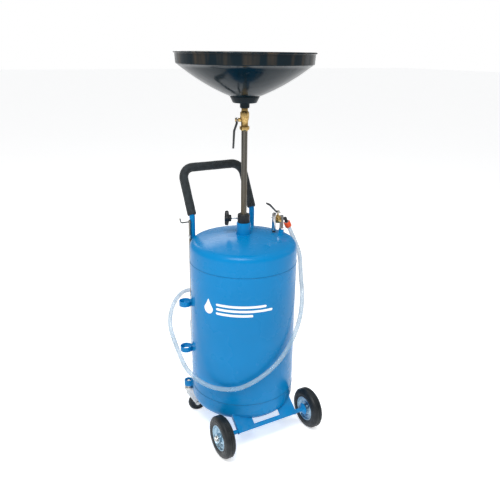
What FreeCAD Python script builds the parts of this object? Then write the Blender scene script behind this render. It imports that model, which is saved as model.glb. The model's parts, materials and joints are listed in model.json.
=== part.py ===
import FreeCAD, Part
import math
import os
import Sketcher
from FreeCAD import Rotation, Vector

# A rolling waste-oil drainer: a welded pressure tank on wheels, with a drain bowl on a mast that
# slides in the tank.  Millimetres.  +Z is up, the axle is parallel to X, the handle is at +Y,
# and the origin is on the floor under the middle of the tank.

SIZES = {
    # overall
    "half_depth": 280.0,          # origin to the front of the wheels and to the back of the grip
    "bowl_rim_radius": 244.0,
    # tank
    "tank_radius": 203.0,
    "tank_wall": 3.0,
    "tank_low_seam": 172.0,
    "tank_high_seam": 690.0,
    "top_crown": 800.0,           # spherical radius of the shallow top end
    "top_knuckle": 26.0,
    "top_flange": 54.2,           # straight part of the end
    "bottom_crown": 406.0,
    "bottom_knuckle": 40.6,
    "bottom_flange": 37.0,
    # mast and its socket
    "mast_radius": 11.0,
    "mast_wall": 1.8,
    "mast_foot": 380.0,           # height of the tube's lower end
    "slide_gap": 0.08,            # radial gap of parts that slide or turn on the mast
    "socket_radius": 26.5,
    "socket_top": 836.0,
    "socket_length": 70.0,
    "packing_radius": 17.0,
    "packing_height": 14.0,
    "collar_radius": 23.0,
    "collar_height": 33.0,
    "collar_edge": 4.0,
    "guide_radius": 18.0,
    "guide_wall": 2.6,
    "guide_foot": 125.0,
    "stop_height": 22.0,
    # clamp screw and knob
    "clamp_azimuth": 150.0,
    "clamp_height": 15.0,         # above the collar's lower face
    "screw_radius": 4.0,
    "knob_reach": 46.0,           # mast axis to the knob's inner face
    "knob_radius": 28.5,
    "knob_width": 16.0,
    "knob_hub": 9.0,
    "pad_length": 3.0,
    # bowl
    "bowl_wall": 3.0,
    "bowl_top": 1438.0,
    "bowl_rim_height": 38.0,
    "bowl_lip_reach": 7.0,        # rim wall to the lip's edge
    "bowl_seat": 1292.0,
    "bowl_seat_radius": 53.0,
    "bowl_sweep": 700.0,          # radius of the bowl's side in section
    "flange_foot_radius": 42.0,
    "flange_height": 22.0,
    "neck_radius": 17.2,
    "neck_height": 19.0,
    "drain_bore": 8.5,
    # drain valve under the bowl
    "valve_foot": 1174.0,
    "valve_height": 77.0,
    "valve_hex_wall": 6.6,        # mast to the hexagon's corners
    "valve_wall": 1.6,
    "valve_stem_height": 1211.0,
    "valve_azimuth": 150.0,
    "stem_radius": 3.5,
    "fit_gap": 0.05,              # radial running clearance of pins and stems
    "ball_radius": 11.0,
    "lever_reach": 26.0,          # mast axis to the lever plate
    "lever_plate": 3.0,
    "lever_width": 17.0,
    "lever_length": 98.0,
    # handle
    "handle_radius": 11.0,
    "handle_wall": 1.6,
    "handle_half_width": 133.0,
    "handle_leg_gap": 12.845,     # tank wall to the middle of a leg
    "handle_foot": 420.0,
    "handle_bend": 834.0,
    "handle_top": 1004.0,
    "handle_corner": 46.0,
    "grip_radius": 17.75,
    "clip_height": 26.0,
    "clip_wall": 2.5,
    # discharge wand clipped beside the left leg
    "wand_radius": 5.0,
    "wand_x": -149.5,
    "wand_y": 158.0,
    "wand_foot": 396.0,
    "wand_top": 822.0,
    "hook_radius": 2.8,
    "hook_reach": 33.0,
    "hook_rise": 19.0,
    # hose holder rings
    "ring_radius": 23.5,
    "ring_wall": 3.0,
    "ring_height": 20.0,
    "ring_seat": 1.5,             # how far a ring is ground in where it meets the tank
    "ring_azimuth": 158.2,
    "ring_low": 311.0,
    "ring_high": 507.0,
    # front wheels and axle
    "wheel_radius": 80.0,
    "wheel_width": 41.0,
    "rim_radius": 47.0,
    "track_half": 194.0,
    "axle_radius": 6.0,
    "axle_tube_radius": 8.0,
    "axle_flare": 23.5,
    "hub_radius": 17.0,
    "hub_half": 22.0,
    "bracket_half_width": 130.0,
    "bracket_depth": 88.0,
    "bracket_slope": 38.0,
    "bracket_sheet": 3.0,
    "bracket_cheek": 16.0,
    "window_half_width": 58.0,
    # rear casters
    "caster_azimuth": 147.3,
    "ear_radius": 18.0,
    "ear_foot": 125.0,
    "ear_height": 23.0,
    "ear_floor": 9.0,             # solid floor of the ear, under the nut's pocket
    "stud_radius": 6.0,
    "caster_nut_radius": 10.0,
    "caster_wheel_radius": 37.5,
    "caster_wheel_width": 24.0,
    "caster_trail": 34.0,
    "caster_trail_azimuth": -14.0,
    "kingpin_radius": 5.0,
    "race_radius": 20.0,
    "fork_sheet": 2.5,
    "caster_bolt_radius": 4.0,
    # discharge head on the top dished end
    "head_reach": 158.0,          # mast axis to the head's upright axis
    "head_azimuth": -6.5,
    "boss_radius": 10.5,
    "boss_foot": 738.0,
    "boss_top": 790.0,
    "column_radius": 7.8,
    "column_top": 846.0,
    "dip_radius": 4.5,
    "dip_foot": 106.0,
    "air_valve_height": 831.0,
    "air_valve_radius": 14.0,
    "air_lever_reach": 28.0,
    "air_lever_length": 46.0,
    "coupler_reach": 32.0,
    "coupler_radius": 8.0,
    "coupler_foot": 784.0,
    "coupler_top": 858.5,
    "outlet_height": 833.0,
    "outlet_tilt": 25.0,
    # hose
    "hose_radius": 8.5,
    "hose_collar_radius": 13.0,
    "hose_collar_length": 22.0,
    "free_gap": 0.3,              # between faces of pieces that move past each other
}


class Size:
    """A number that remembers the spreadsheet expression that gives it."""

    def __init__(self, value, text):
        self.value = float(value)
        self.text = text

    def __float__(self):
        return self.value

    def __add__(self, other):
        return Size(self.value + float(other), f"({self.text} + {words(other)})")

    def __radd__(self, other):
        return Size(float(other) + self.value, f"({words(other)} + {self.text})")

    def __sub__(self, other):
        return Size(self.value - float(other), f"({self.text} - {words(other)})")

    def __rsub__(self, other):
        return Size(float(other) - self.value, f"({words(other)} - {self.text})")

    def __mul__(self, other):
        return Size(self.value * float(other), f"({self.text} * {words(other)})")

    def __rmul__(self, other):
        return Size(float(other) * self.value, f"({words(other)} * {self.text})")

    def __truediv__(self, other):
        return Size(self.value / float(other), f"({self.text} / {words(other)})")

    def __rtruediv__(self, other):
        return Size(float(other) / self.value, f"({words(other)} / {self.text})")

    def __neg__(self):
        return Size(-self.value, f"(0 - {self.text})")


def words(value):
    """The expression text of a Size or of a plain number."""
    if isinstance(value, Size):
        return value.text
    return f"({float(value):.6f})"


def root(size):
    return Size(math.sqrt(float(size)), f"sqrt({words(size)})")


def cosine(size):
    return Size(math.cos(math.radians(float(size))), f"cos({words(size)})")


def sine(size):
    return Size(math.sin(math.radians(float(size))), f"sin({words(size)})")


doc = FreeCAD.newDocument("waste_oil_drainer")


def make_sheet():
    """Write the driving sizes to a spreadsheet and return them as Size values."""
    sheet = doc.addObject("Spreadsheet::Sheet", "Sizes")
    for row, (alias, value) in enumerate(SIZES.items(), start=1):
        sheet.set(f"A{row}", alias)
        sheet.set(f"B{row}", str(value))
        sheet.setAlias(f"B{row}", alias)
    doc.recompute()
    return {alias: Size(value, f"Sizes.{alias}") for alias, value in SIZES.items()}


class Names:
    """The driving sizes as attributes."""

    def __init__(self, values):
        self.__dict__.update(values)


s = Names(make_sheet())
parts = {}


# ---------------------------------------------------------------------------- building helpers

ALONG = {
    "Z": Rotation(),
    "X": Rotation(Vector(0, 1, 0), 90),
    "Y": Rotation(Vector(1, 0, 0), -90),
}


def bind(obj, prop, value):
    """Give a property its value, through the spreadsheet where the value is a Size."""
    if isinstance(value, Size):
        obj.setExpression(prop, value.text)
    else:
        obj.setExpression(prop, words(value))


def place(obj, x=0, y=0, z=0, turn=None):
    """Set an object's rotation and bind its position."""
    obj.Placement = FreeCAD.Placement(Vector(float(x), float(y), float(z)), turn or Rotation())
    for prop, value in (("x", x), ("y", y), ("z", z)):
        bind(obj, f"Placement.Base.{prop}", value)
    return obj


def rod(name, radius, length, x=0, y=0, z=0, along="Z"):
    """A cylinder that starts at (x, y, z) and runs along an axis."""
    obj = doc.addObject("Part::Cylinder", name)
    bind(obj, "Radius", radius)
    bind(obj, "Height", length)
    return place(obj, x, y, z, ALONG[along])


def cone(name, radius, end_radius, length, x=0, y=0, z=0, along="Z"):
    obj = doc.addObject("Part::Cone", name)
    bind(obj, "Radius1", radius)
    bind(obj, "Radius2", end_radius)
    bind(obj, "Height", length)
    return place(obj, x, y, z, ALONG[along])


def ball(name, radius, x=0, y=0, z=0):
    obj = doc.addObject("Part::Sphere", name)
    bind(obj, "Radius", radius)
    return place(obj, x, y, z)


def hexagon(name, radius, length, x=0, y=0, z=0, along="Z"):
    """A hexagonal prism; the radius is to its corners."""
    obj = doc.addObject("Part::Prism", name)
    obj.Polygon = 6
    bind(obj, "Circumradius", radius)
    bind(obj, "Height", length)
    return place(obj, x, y, z, ALONG[along])


def block(name, low, high):
    """A box between two corners."""
    obj = doc.addObject("Part::Box", name)
    for prop, start, end in zip(("Length", "Width", "Height"), low, high):
        bind(obj, prop, end - start)
    return place(obj, *low)


def cut(name, base, *tools):
    """The base with one tool, or several joined tools, taken away."""
    obj = doc.addObject("Part::Cut", name)
    obj.Base = base
    obj.Tool = tools[0] if len(tools) == 1 else fuse(name + "_tools", *tools)
    return obj


def fuse(name, *shapes):
    obj = doc.addObject("Part::MultiFuse", name)
    obj.Shapes = list(shapes)
    return obj


def group(name, *shapes):
    """Separate solids that share one node."""
    obj = doc.addObject("Part::Compound", name)
    obj.Links = list(shapes)
    return obj


def pipe(name, radius, bore, length, x=0, y=0, z=0, along="Z"):
    """A straight tube; the bore runs the tube's whole length."""
    outer = rod(name + "_outer", radius, length, x, y, z, along)
    inner = rod(name + "_inner", bore, length, x, y, z, along)
    return cut(name, outer, inner)


def solid(name, shape):
    """A document object that holds a computed shape."""
    obj = doc.addObject("Part::Feature", name)
    obj.Shape = shape
    return obj


def node(obj):
    """Mark an object as one of the part's nodes; its label names its file."""
    parts[obj.Label] = obj
    return obj


def origin_plane(body, role):
    return [f for f in body.Origin.OriginFeatures if f.Role == role][0]


def arc_between(start, end, radius):
    """An arc of circle from start to end; a positive radius turns left, a negative one right."""
    chord = end - start
    half = chord.Length / 2
    across = Vector(-chord.y, chord.x, 0).normalize()
    rise = math.sqrt(max(radius * radius - half * half, 0.0))
    centre = start + chord * 0.5 + across * math.copysign(rise, radius)
    first, last = (start, end) if radius > 0 else (end, start)
    begin = math.atan2(first.y - centre.y, first.x - centre.x)
    finish = math.atan2(last.y - centre.y, last.x - centre.x)
    if finish < begin:
        finish += 2 * math.pi
    return Part.ArcOfCircle(Part.Circle(centre, Vector(0, 0, 1), abs(radius)), begin, finish)


def draw_outline(sketch, outline):
    """Draw a closed outline whose corners and arc radii are bound to the spreadsheet.

    Each entry is (across, up) for a straight side that ends there, or (across, up, radius) for an
    arc that ends there.  The last side joins the last corner to the first.
    """
    corners = [Vector(float(entry[0]), float(entry[1]), 0) for entry in outline]
    starts = []
    for index, entry in enumerate(outline):
        start, end = corners[index - 1], corners[index]
        if len(entry) == 3:
            side = sketch.addGeometry(arc_between(start, end, float(entry[2])))
            starts.append((side, 1, 2) if float(entry[2]) > 0 else (side, 2, 1))
            number = sketch.addConstraint(Sketcher.Constraint("Radius", side, abs(float(entry[2]))))
            size = entry[2] if float(entry[2]) > 0 else -1 * entry[2]
            sketch.setExpression(f"Constraints[{number}]", words(size))
        else:
            starts.append((sketch.addGeometry(Part.LineSegment(start, end)), 1, 2))
    for index, entry in enumerate(outline):
        side, _, finish = starts[index]
        follower, begin, _ = starts[(index + 1) % len(outline)]
        sketch.addConstraint(Sketcher.Constraint("Coincident", side, finish, follower, begin))
        for kind, value, axis in (("DistanceX", entry[0], -2), ("DistanceY", entry[1], -1)):
            if float(value) == 0:
                sketch.addConstraint(Sketcher.Constraint("PointOnObject", side, finish, axis))
                continue
            fixed = Sketcher.Constraint(kind, -1, 1, side, finish, float(value))
            number = sketch.addConstraint(fixed)
            sketch.setExpression(f"Constraints[{number}]", words(value))


def new_sketch(body, name, plane):
    sketch = body.newObject("Sketcher::SketchObject", name)
    sketch.AttachmentSupport = [(origin_plane(body, plane), "")]
    sketch.MapMode = "FlatFace"
    return sketch


def turned(name, outline):
    """A body of revolution about Z; the outline gives (radius, height) corners."""
    body = doc.addObject("PartDesign::Body", name)
    sketch = new_sketch(body, name + "_outline", "XZ_Plane")
    draw_outline(sketch, outline)
    spin = body.newObject("PartDesign::Revolution", name + "_spin")
    spin.Profile = sketch
    spin.ReferenceAxis = (sketch, ["V_Axis"])
    spin.Angle = 360
    return body


def plate(name, outline, thickness, plane="XZ_Plane"):
    """A flat plate padded evenly both ways from a plane; the outline lies in that plane."""
    body = doc.addObject("PartDesign::Body", name)
    sketch = new_sketch(body, name + "_outline", plane)
    draw_outline(sketch, outline)
    pad = body.newObject("PartDesign::Pad", name + "_pad")
    pad.Profile = sketch
    bind(pad, "Length", thickness)
    pad.Midplane = True
    return body


def rounded_path(points, radius=None):
    """Straight runs joined by tangent arcs, and the radii of the arcs.

    With no radius given, each arc is as large as the shorter of its two runs allows.
    """
    edges = []
    radii = []
    here = points[0]
    for index in range(1, len(points) - 1):
        back = points[index - 1] - points[index]
        ahead = points[index + 1] - points[index]
        turn = math.pi - back.getAngle(ahead)
        bend = radius or 0.45 * min(back.Length, ahead.Length) / math.tan(turn / 2)
        reach = bend * math.tan(turn / 2)
        enter = points[index] + back.normalize() * reach
        leave = points[index] + ahead.normalize() * reach
        middle = points[index] + (back + ahead).normalize() * (bend / math.cos(turn / 2) - bend)
        edges.append(Part.LineSegment(here, enter).toShape())
        edges.append(Part.Arc(enter, middle, leave).toShape())
        radii.append(bend)
        here = leave
    edges.append(Part.LineSegment(here, points[-1]).toShape())
    return Part.Wire(edges), radii


def swept(path, radius):
    """A round bar of one radius along a path."""
    first = path.Edges[0]
    start = first.valueAt(first.FirstParameter)
    ring = Part.Wire([Part.makeCircle(radius, start, first.tangentAt(first.FirstParameter))])
    return path.makePipeShell([ring], True, False)


# ---------------------------------------------------------------------------- tank


def head_outline(radius, crown, knuckle, flange, way, seam, wall):
    """The section of a dished end; way is 1 for a top end and -1 for a bottom end."""
    slope_sine = (radius - knuckle) / (crown - knuckle)
    slope_cosine = root(1 - slope_sine * slope_sine)
    tangent = seam + way * flange
    join_radius = crown * slope_sine
    join = tangent + way * knuckle * slope_cosine
    apex = tangent + way * (crown - (crown - knuckle) * slope_cosine)
    inner_crown, inner_knuckle = crown - wall, knuckle - wall
    inner_join = tangent + way * inner_knuckle * slope_cosine
    return [
        (radius, seam),
        (radius, tangent),
        (join_radius, join, way * knuckle),
        (0, apex, way * crown),
        (0, apex - way * wall),
        (inner_crown * slope_sine, inner_join, -way * inner_crown),
        (radius - wall, tangent, -way * inner_knuckle),
        (radius - wall, seam),
    ]


def make_tank():
    inside = s.tank_radius - s.tank_wall
    height = s.tank_high_seam - s.tank_low_seam
    node(pipe("tank_wall", s.tank_radius, inside, height, z=s.tank_low_seam))
    top = turned("top_dished_end", head_outline(
        s.tank_radius, s.top_crown, s.top_knuckle, s.top_flange, 1, s.tank_high_seam, s.tank_wall))
    socket_hole = rod("socket_hole", s.socket_radius, 200, z=s.tank_high_seam)
    boss_hole = rod("boss_hole", s.boss_radius, 200, head_x(0), head_y(0), s.tank_high_seam)
    node(cut("tank_top_end", top, socket_hole, boss_hole))
    node(turned("tank_bottom_end", head_outline(
        s.tank_radius, s.bottom_crown, s.bottom_knuckle, s.bottom_flange, -1, s.tank_low_seam,
        s.tank_wall)))


def tank_envelope():
    """The tank's outer volume, which trims what is welded to its outside."""
    outline = head_outline(s.tank_radius, s.bottom_crown, s.bottom_knuckle, s.bottom_flange, -1,
                           s.tank_low_seam, s.tank_wall)
    lid = [(0, s.tank_high_seam), (s.tank_radius, s.tank_high_seam)]
    return turned("tank_envelope", outline[:4] + lid)


# ---------------------------------------------------------------------------- mast and socket

def along_x(reach, azimuth):
    return reach * cosine(azimuth)


def along_y(reach, azimuth):
    return reach * sine(azimuth)


def head_x(reach):
    """X of a point on the discharge head's line, outward from its upright axis."""
    return along_x(s.head_reach + reach, s.head_azimuth)


def head_y(reach):
    return along_y(s.head_reach + reach, s.head_azimuth)


def facing(azimuth):
    return Rotation(Vector(0, 0, 1), float(azimuth))


def make_socket():
    foot = s.socket_top - s.socket_length
    packing_floor = s.socket_top - s.packing_height
    node(turned("mast_socket", [
        (s.socket_radius, foot),
        (s.socket_radius, s.socket_top),
        (s.packing_radius, s.socket_top),
        (s.packing_radius, packing_floor),
        (s.mast_radius + 1, packing_floor),
        (s.mast_radius + 1, foot),
    ]))
    slide_radius = s.mast_radius + s.slide_gap
    node(pipe("mast_packing", s.packing_radius, slide_radius, s.packing_height, z=packing_floor))
    guide_bore = s.guide_radius - s.guide_wall
    guide = pipe("guide_pipe", s.guide_radius, guide_bore, foot - s.guide_foot, z=s.guide_foot)
    slots = [block(f"guide_slot_{i}", (-60, -5, s.guide_foot + 12), (60, 5, s.guide_foot + 60))
             for i in range(2)]
    slots[1].Placement = FreeCAD.Placement(Vector(5, -60, 0), facing(90))
    bind(slots[1], "Placement.Base.z", s.guide_foot + 12)
    node(cut("guide_tube", guide, *slots))


def make_collar():
    """The collar nut over the socket, with a cross hole for the clamp screw."""
    top = s.socket_top + s.collar_height
    edge = s.collar_edge
    ring = turned("collar_ring", [
        (s.collar_radius, s.socket_top),
        (s.collar_radius, top - edge),
        (s.collar_radius - edge, top, edge),
        (s.mast_radius + s.slide_gap, top),
        (s.mast_radius + s.slide_gap, s.socket_top),
    ])
    hole = rod("screw_hole", s.screw_radius + s.fit_gap, 2 * s.collar_radius, along="X")
    place(hole, 0, 0, s.socket_top + s.clamp_height,
          facing(s.clamp_azimuth) * ALONG["X"])
    node(cut("clamp_collar", ring, hole))


def make_clamp():
    """The pad, the screw and the star knob that clamp the mast."""
    height = s.socket_top + s.clamp_height
    turn = facing(s.clamp_azimuth)
    pad_start = s.mast_radius + s.free_gap
    screw_start = pad_start + s.pad_length
    pad = rod("pad_blank", s.screw_radius - 0.2, s.pad_length, along="X")
    place(pad, along_x(pad_start, s.clamp_azimuth), along_y(pad_start, s.clamp_azimuth), height,
          turn * ALONG["X"])
    curve = rod("pad_curve", s.mast_radius + s.free_gap, 30, z=height - 15)
    node(cut("clamp_pad", pad, curve))
    screw = rod("clamp_screw", s.screw_radius, s.knob_reach - screw_start + s.knob_hub)
    place(screw, along_x(screw_start, s.clamp_azimuth), along_y(screw_start, s.clamp_azimuth),
          height, turn * ALONG["X"])
    node(screw)
    hub = rod("knob_hub_disc", 0.45 * s.knob_radius, s.knob_hub, along="X")
    core = rod("knob_core", 0.62 * s.knob_radius, s.knob_width, x=s.knob_hub, along="X")
    lobes = [star_lobe(i) for i in range(5)]
    star = fuse("knob_star", hub, core, *lobes)
    bore = rod("knob_bore", s.screw_radius, s.knob_hub, along="X")
    knob = cut("clamp_knob", star, bore)
    place(knob, along_x(s.knob_reach, s.clamp_azimuth), along_y(s.knob_reach, s.clamp_azimuth),
          height, turn)
    node(knob)


def star_lobe(index):
    """One rounded lobe of the star knob."""
    angle = 72 * index
    lobe_radius = 0.34 * s.knob_radius
    reach = s.knob_radius - lobe_radius
    return rod(f"knob_lobe_{index}", lobe_radius, s.knob_width, x=s.knob_hub,
               y=reach * math.cos(math.radians(angle)), z=reach * math.sin(math.radians(angle)),
               along="X")


def make_mast():
    """The drain tube with a rolled foot, and the nylon stop that slides in the guide tube."""
    foot_lip = 2.5
    lip_radius = s.mast_radius + 0.3
    top = s.valve_foot + 12
    node(turned("mast_tube", [
        (lip_radius, s.mast_foot),
        (lip_radius, s.mast_foot + foot_lip),
        (s.mast_radius, s.mast_foot + foot_lip),
        (s.mast_radius, top),
        (s.mast_radius - s.mast_wall, top),
        (s.mast_radius - s.mast_wall, s.mast_foot),
    ]))
    stop_outer = s.guide_radius - s.guide_wall - s.slide_gap
    node(pipe("mast_stop", stop_outer, s.mast_radius + s.slide_gap, s.stop_height,
              z=s.mast_foot + foot_lip + s.free_gap))


# ---------------------------------------------------------------------------- bowl and its valve

def make_bowl():
    seat = s.bowl_seat
    rim = s.bowl_top
    wall_foot = rim - s.bowl_rim_height
    lip = s.bowl_rim_radius
    side = lip - s.bowl_lip_reach
    wall = s.bowl_wall
    bore = s.drain_bore + 8
    node(turned("drain_bowl", [
        (bore, seat),
        (s.bowl_seat_radius, seat),
        (side, wall_foot, s.bowl_sweep),
        (side + 3, rim - 6),
        (lip, rim - 6),
        (lip, rim),
        (side, rim),
        (side - wall, wall_foot + 1),
        (s.bowl_seat_radius, seat + wall, 0 - s.bowl_sweep),
        (bore, seat + wall),
    ]))
    flange_foot = seat - s.flange_height
    neck_foot = flange_foot - s.neck_height
    node(turned("bowl_neck", [
        (s.bowl_seat_radius, seat),
        (s.flange_foot_radius, flange_foot),
        (s.neck_radius, flange_foot),
        (s.neck_radius, neck_foot + 3),
        (s.neck_radius - 3, neck_foot),
        (s.drain_bore, neck_foot),
        (s.drain_bore, seat + 12),
        (bore, seat + 12),
        (bore, seat),
    ]))
    node(turned("bowl_lock_nut", [
        (bore, seat + wall),
        (bore + 12, seat + wall),
        (bore + 12, seat + wall + 8),
        (bore, seat + wall + 8),
    ]))


def make_strainer():
    """The round perforated screen that lies in the bottom of the bowl."""
    foot = s.bowl_seat + 12
    disc = rod("strainer_disc", s.bowl_seat_radius + 4, 1.2, z=foot + s.free_gap)
    drills = []
    for ring, count in ((14, 6), (28, 12), (42, 16)):
        for step in range(count):
            angle = 2 * math.pi * step / count
            drills.append(rod(f"strainer_hole_{ring}_{step}", 3.0, 20,
                              ring * math.cos(angle), ring * math.sin(angle), foot - 5))
    node(cut("strainer", disc, *drills))


def make_drain_valve():
    """The brass ball valve between the bowl's neck and the mast."""
    low = s.valve_foot - s.valve_stem_height
    high = low + s.valve_height
    bore = s.drain_bore
    pocket = s.ball_radius + s.fit_gap
    pocket_reach = root(pocket * pocket - bore * bore)
    seat = s.mast_radius
    waist = seat + s.valve_wall
    corner = seat + s.valve_hex_wall
    wide = corner - 1.6
    shell = turned("drain_valve_shell", [
        (seat, low),
        (waist, low),
        (wide, low + 4),
        (wide, low + 15),
        (waist, low + 18),
        (waist, -6),
        (wide, 8),
        (wide, 25),
        (waist - 1, high - 8),
        (waist - 1, high),
        (bore, high),
        (bore, pocket_reach),
        (bore, -pocket_reach, pocket),
        (bore, low + 12),
        (seat, low + 12),
    ])
    wide_foot = hexagon("drain_foot_hex", corner, 11, z=low + 4)
    foot_bore = rod("drain_foot_bore", seat + 1, 11, z=low + 4)
    gland = rod("drain_valve_gland", 7.2, 15, x=8, along="X")
    gland_bore = ball("drain_valve_pocket", pocket)
    stem_hole = rod("drain_valve_stem_hole", s.stem_radius + s.fit_gap, 40, along="X")
    whole = fuse("drain_valve_solid", shell, cut("drain_foot_ring", wide_foot, foot_bore), gland)
    body = cut("drain_valve_body", whole, gland_bore, stem_hole)
    node(place(body, 0, 0, s.valve_stem_height, facing(s.valve_azimuth)))
    lever = LeverShape(s.lever_reach, s.lever_length, 12.0, 9.0, 26.0, -1)
    make_handle_set("drain", s.ball_radius, s.drain_bore - 1, lever,
                    (0, 0, s.valve_stem_height), facing(s.valve_azimuth))


class LeverShape:
    """The side view of a cranked lever on a stem that runs along local X."""

    def __init__(self, reach, length, flat, crank, run, way):
        self.reach = reach      # stem's start to the lever's inner face
        self.length = length    # stem axis to the lever's tip
        self.flat = flat        # flat stretch beside the stem before the crank
        self.crank = crank      # how far the crank leaves the flat stretch
        self.run = run          # length of the crank along the lever
        self.way = way          # 1 points along local Z, -1 against it


def make_handle_set(name, ball_radius, bore, lever, at, turn):
    """A valve's ball, stem, cranked lever and nut."""
    sphere = ball(f"{name}_ball_blank", ball_radius)
    through = rod(f"{name}_ball_bore", bore, 4 * ball_radius, z=-2 * ball_radius)
    node(place(cut(f"{name}_valve_ball", sphere, through), *at, turn))
    nut_height = 4.5
    reach, way = lever.reach, lever.way
    outer = reach + s.lever_plate
    stem_space = ball(f"{name}_stem_space", ball_radius)
    bar = rod(f"{name}_stem_bar", s.stem_radius, outer + nut_height, along="X")
    node(place(cut(f"{name}_valve_stem", bar, stem_space), *at, turn))
    nut = hexagon(f"{name}_nut_blank", s.stem_radius + 3.6, nut_height, x=outer, along="X")
    nut_bore = rod(f"{name}_nut_bore", s.stem_radius, nut_height, x=outer, along="X")
    node(place(cut(f"{name}_valve_nut", nut, nut_bore), *at, turn))
    half = 0.5 * s.lever_width
    bend = way * (lever.flat + lever.run)
    tip = way * lever.length
    profile = [
        (reach, -way * half),
        (outer, -way * half),
        (outer, way * lever.flat),
        (outer + lever.crank, bend),
        (outer + lever.crank + 3, tip),
        (reach + lever.crank + 3, tip),
        (reach + lever.crank, bend),
        (reach, way * lever.flat),
    ]
    blank = plate(f"{name}_lever_plate", profile, s.lever_width)
    eye = rod(f"{name}_lever_eye", s.stem_radius, s.lever_plate, x=reach, along="X")
    node(place(cut(f"{name}_valve_lever", blank, eye), *at, turn))


# ---------------------------------------------------------------------------- handle and wand

def leg_back():
    """How far behind the mast axis the handle's legs stand, clear of the tank wall."""
    reach = s.tank_radius + s.handle_leg_gap
    return root(reach * reach - s.handle_half_width * s.handle_half_width)


def handle_points(start, bar_back):
    half = float(s.handle_half_width)
    leg = float(leg_back())
    bend = float(s.handle_bend)
    top = float(s.handle_top)
    return [
        Vector(-half, leg, start), Vector(-half, leg, bend), Vector(-half, bar_back, top),
        Vector(half, bar_back, top), Vector(half, leg, bend), Vector(half, leg, start),
    ]


def make_handle():
    """The bent handle tube, its foam grip and the clips that hold its legs to the tank."""
    bar_back = float(s.half_depth - s.grip_radius)
    corner = float(s.handle_corner)
    path, _ = rounded_path(handle_points(float(s.handle_foot), bar_back), corner)
    outer = swept(path, float(s.handle_radius))
    inner = swept(path, float(s.handle_radius - s.handle_wall))
    node(solid("handle_tube", outer.cut(inner)))
    points = handle_points(float(s.handle_foot), bar_back)
    lean = (points[2] - points[1]).normalize()
    grip_points = [points[1] + lean * 4, points[2], points[3],
                   points[4] + Vector(-lean.x, lean.y, lean.z) * 4]
    grip_path, _ = rounded_path(grip_points, corner)
    foam = swept(grip_path, float(s.grip_radius)).cut(outer)
    foam = max(foam.Solids, key=lambda piece: piece.Volume)
    node(solid("handle_grip", foam))
    envelope = rod("clip_trim", s.tank_radius, 600, z=s.handle_foot - 50)
    clips = []
    for side in (-1, 1):
        for index, height in enumerate((30.0, 210.0)):
            clips.append(handle_clip(f"handle_clip_{side + 1}_{index}", side, height, envelope))
    node(group("handle_clips", *clips))


def handle_clip(name, side, height, envelope):
    """A strap round one leg, with a foot that is welded to the tank wall."""
    x, y = side * s.handle_half_width, leg_back()
    z = s.handle_foot + height
    strap = rod(name + "_strap", s.handle_radius + s.clip_wall, s.clip_height, x, y, z)
    leg = rod(name + "_leg", s.handle_radius, s.clip_height, x, y, z)
    toward = math.degrees(math.atan2(-float(y), -float(x)))
    foot = block(name + "_foot", (0, 0, 0), (14, s.handle_radius * 2, s.clip_height))
    shift = facing(toward).multVec(Vector(0, -float(s.handle_radius), 0))
    place(foot, x + shift.x, y + shift.y, z, facing(toward))
    return cut(name, fuse(name + "_solid", strap, foot), leg, envelope)


def make_wand():
    """The discharge wand beside the left leg, its J-hook and its spring clips."""
    x, y = s.wand_x, s.wand_y
    tube = pipe("wand_pipe", s.wand_radius, s.wand_radius - 1.2, s.wand_top - s.wand_foot, x, y,
                s.wand_foot)
    hook_z = float(s.wand_top) - 6
    start = Vector(float(x) - float(s.wand_radius) + 0.6, float(y), hook_z)
    corner = start + Vector(-float(s.hook_reach), 0, 0)
    tip = corner + Vector(-3, 0, float(s.hook_rise))
    path, _ = rounded_path([start, corner, tip], 9.0)
    hook = solid("wand_hook_bar", swept(path, float(s.hook_radius)))
    node(fuse("discharge_wand", tube, hook))
    clips = []
    for index, height in enumerate((75.0, 330.0)):
        z = s.handle_foot + height
        name = f"wand_clip_{index}"
        ring = pipe(name + "_ring", s.wand_radius + 1.6, s.wand_radius, 14, x, y, z)
        bridge_start = Vector(float(x), float(y), 0)
        leg = Vector(-float(s.handle_half_width), float(leg_back()), 0)
        across = leg - bridge_start
        angle = math.degrees(math.atan2(across.y, across.x))
        bridge = block(name + "_bridge", (0, 0, 0), (across.Length, 5, 14))
        shift = facing(angle).multVec(Vector(0, -2.5, 0))
        place(bridge, x + shift.x, y + shift.y, z, facing(angle))
        wand_space = rod(name + "_wand_space", s.wand_radius, 14, x, y, z)
        leg_space = rod(name + "_leg_space", s.handle_radius, 14, leg.x, leg.y, z)
        clips.append(cut(name, fuse(name + "_solid", ring, bridge), wand_space, leg_space))
    node(group("wand_clips", *clips))


def make_holder_rings(envelope):
    """Two short pipe rings welded to the tank's side that carry the coiled hose."""
    reach = s.tank_radius + s.ring_radius - s.ring_seat
    x, y = along_x(reach, s.ring_azimuth), along_y(reach, s.ring_azimuth)
    rings = []
    for name, z in (("holder_ring_low", s.ring_low), ("holder_ring_high", s.ring_high)):
        ring = pipe(name + "_pipe", s.ring_radius, s.ring_radius - s.ring_wall, s.ring_height, x, y, z)
        rings.append(cut(name, ring, envelope))
    node(group("holder_rings", *rings))


# ---------------------------------------------------------------------------- front axle and wheels

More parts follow.
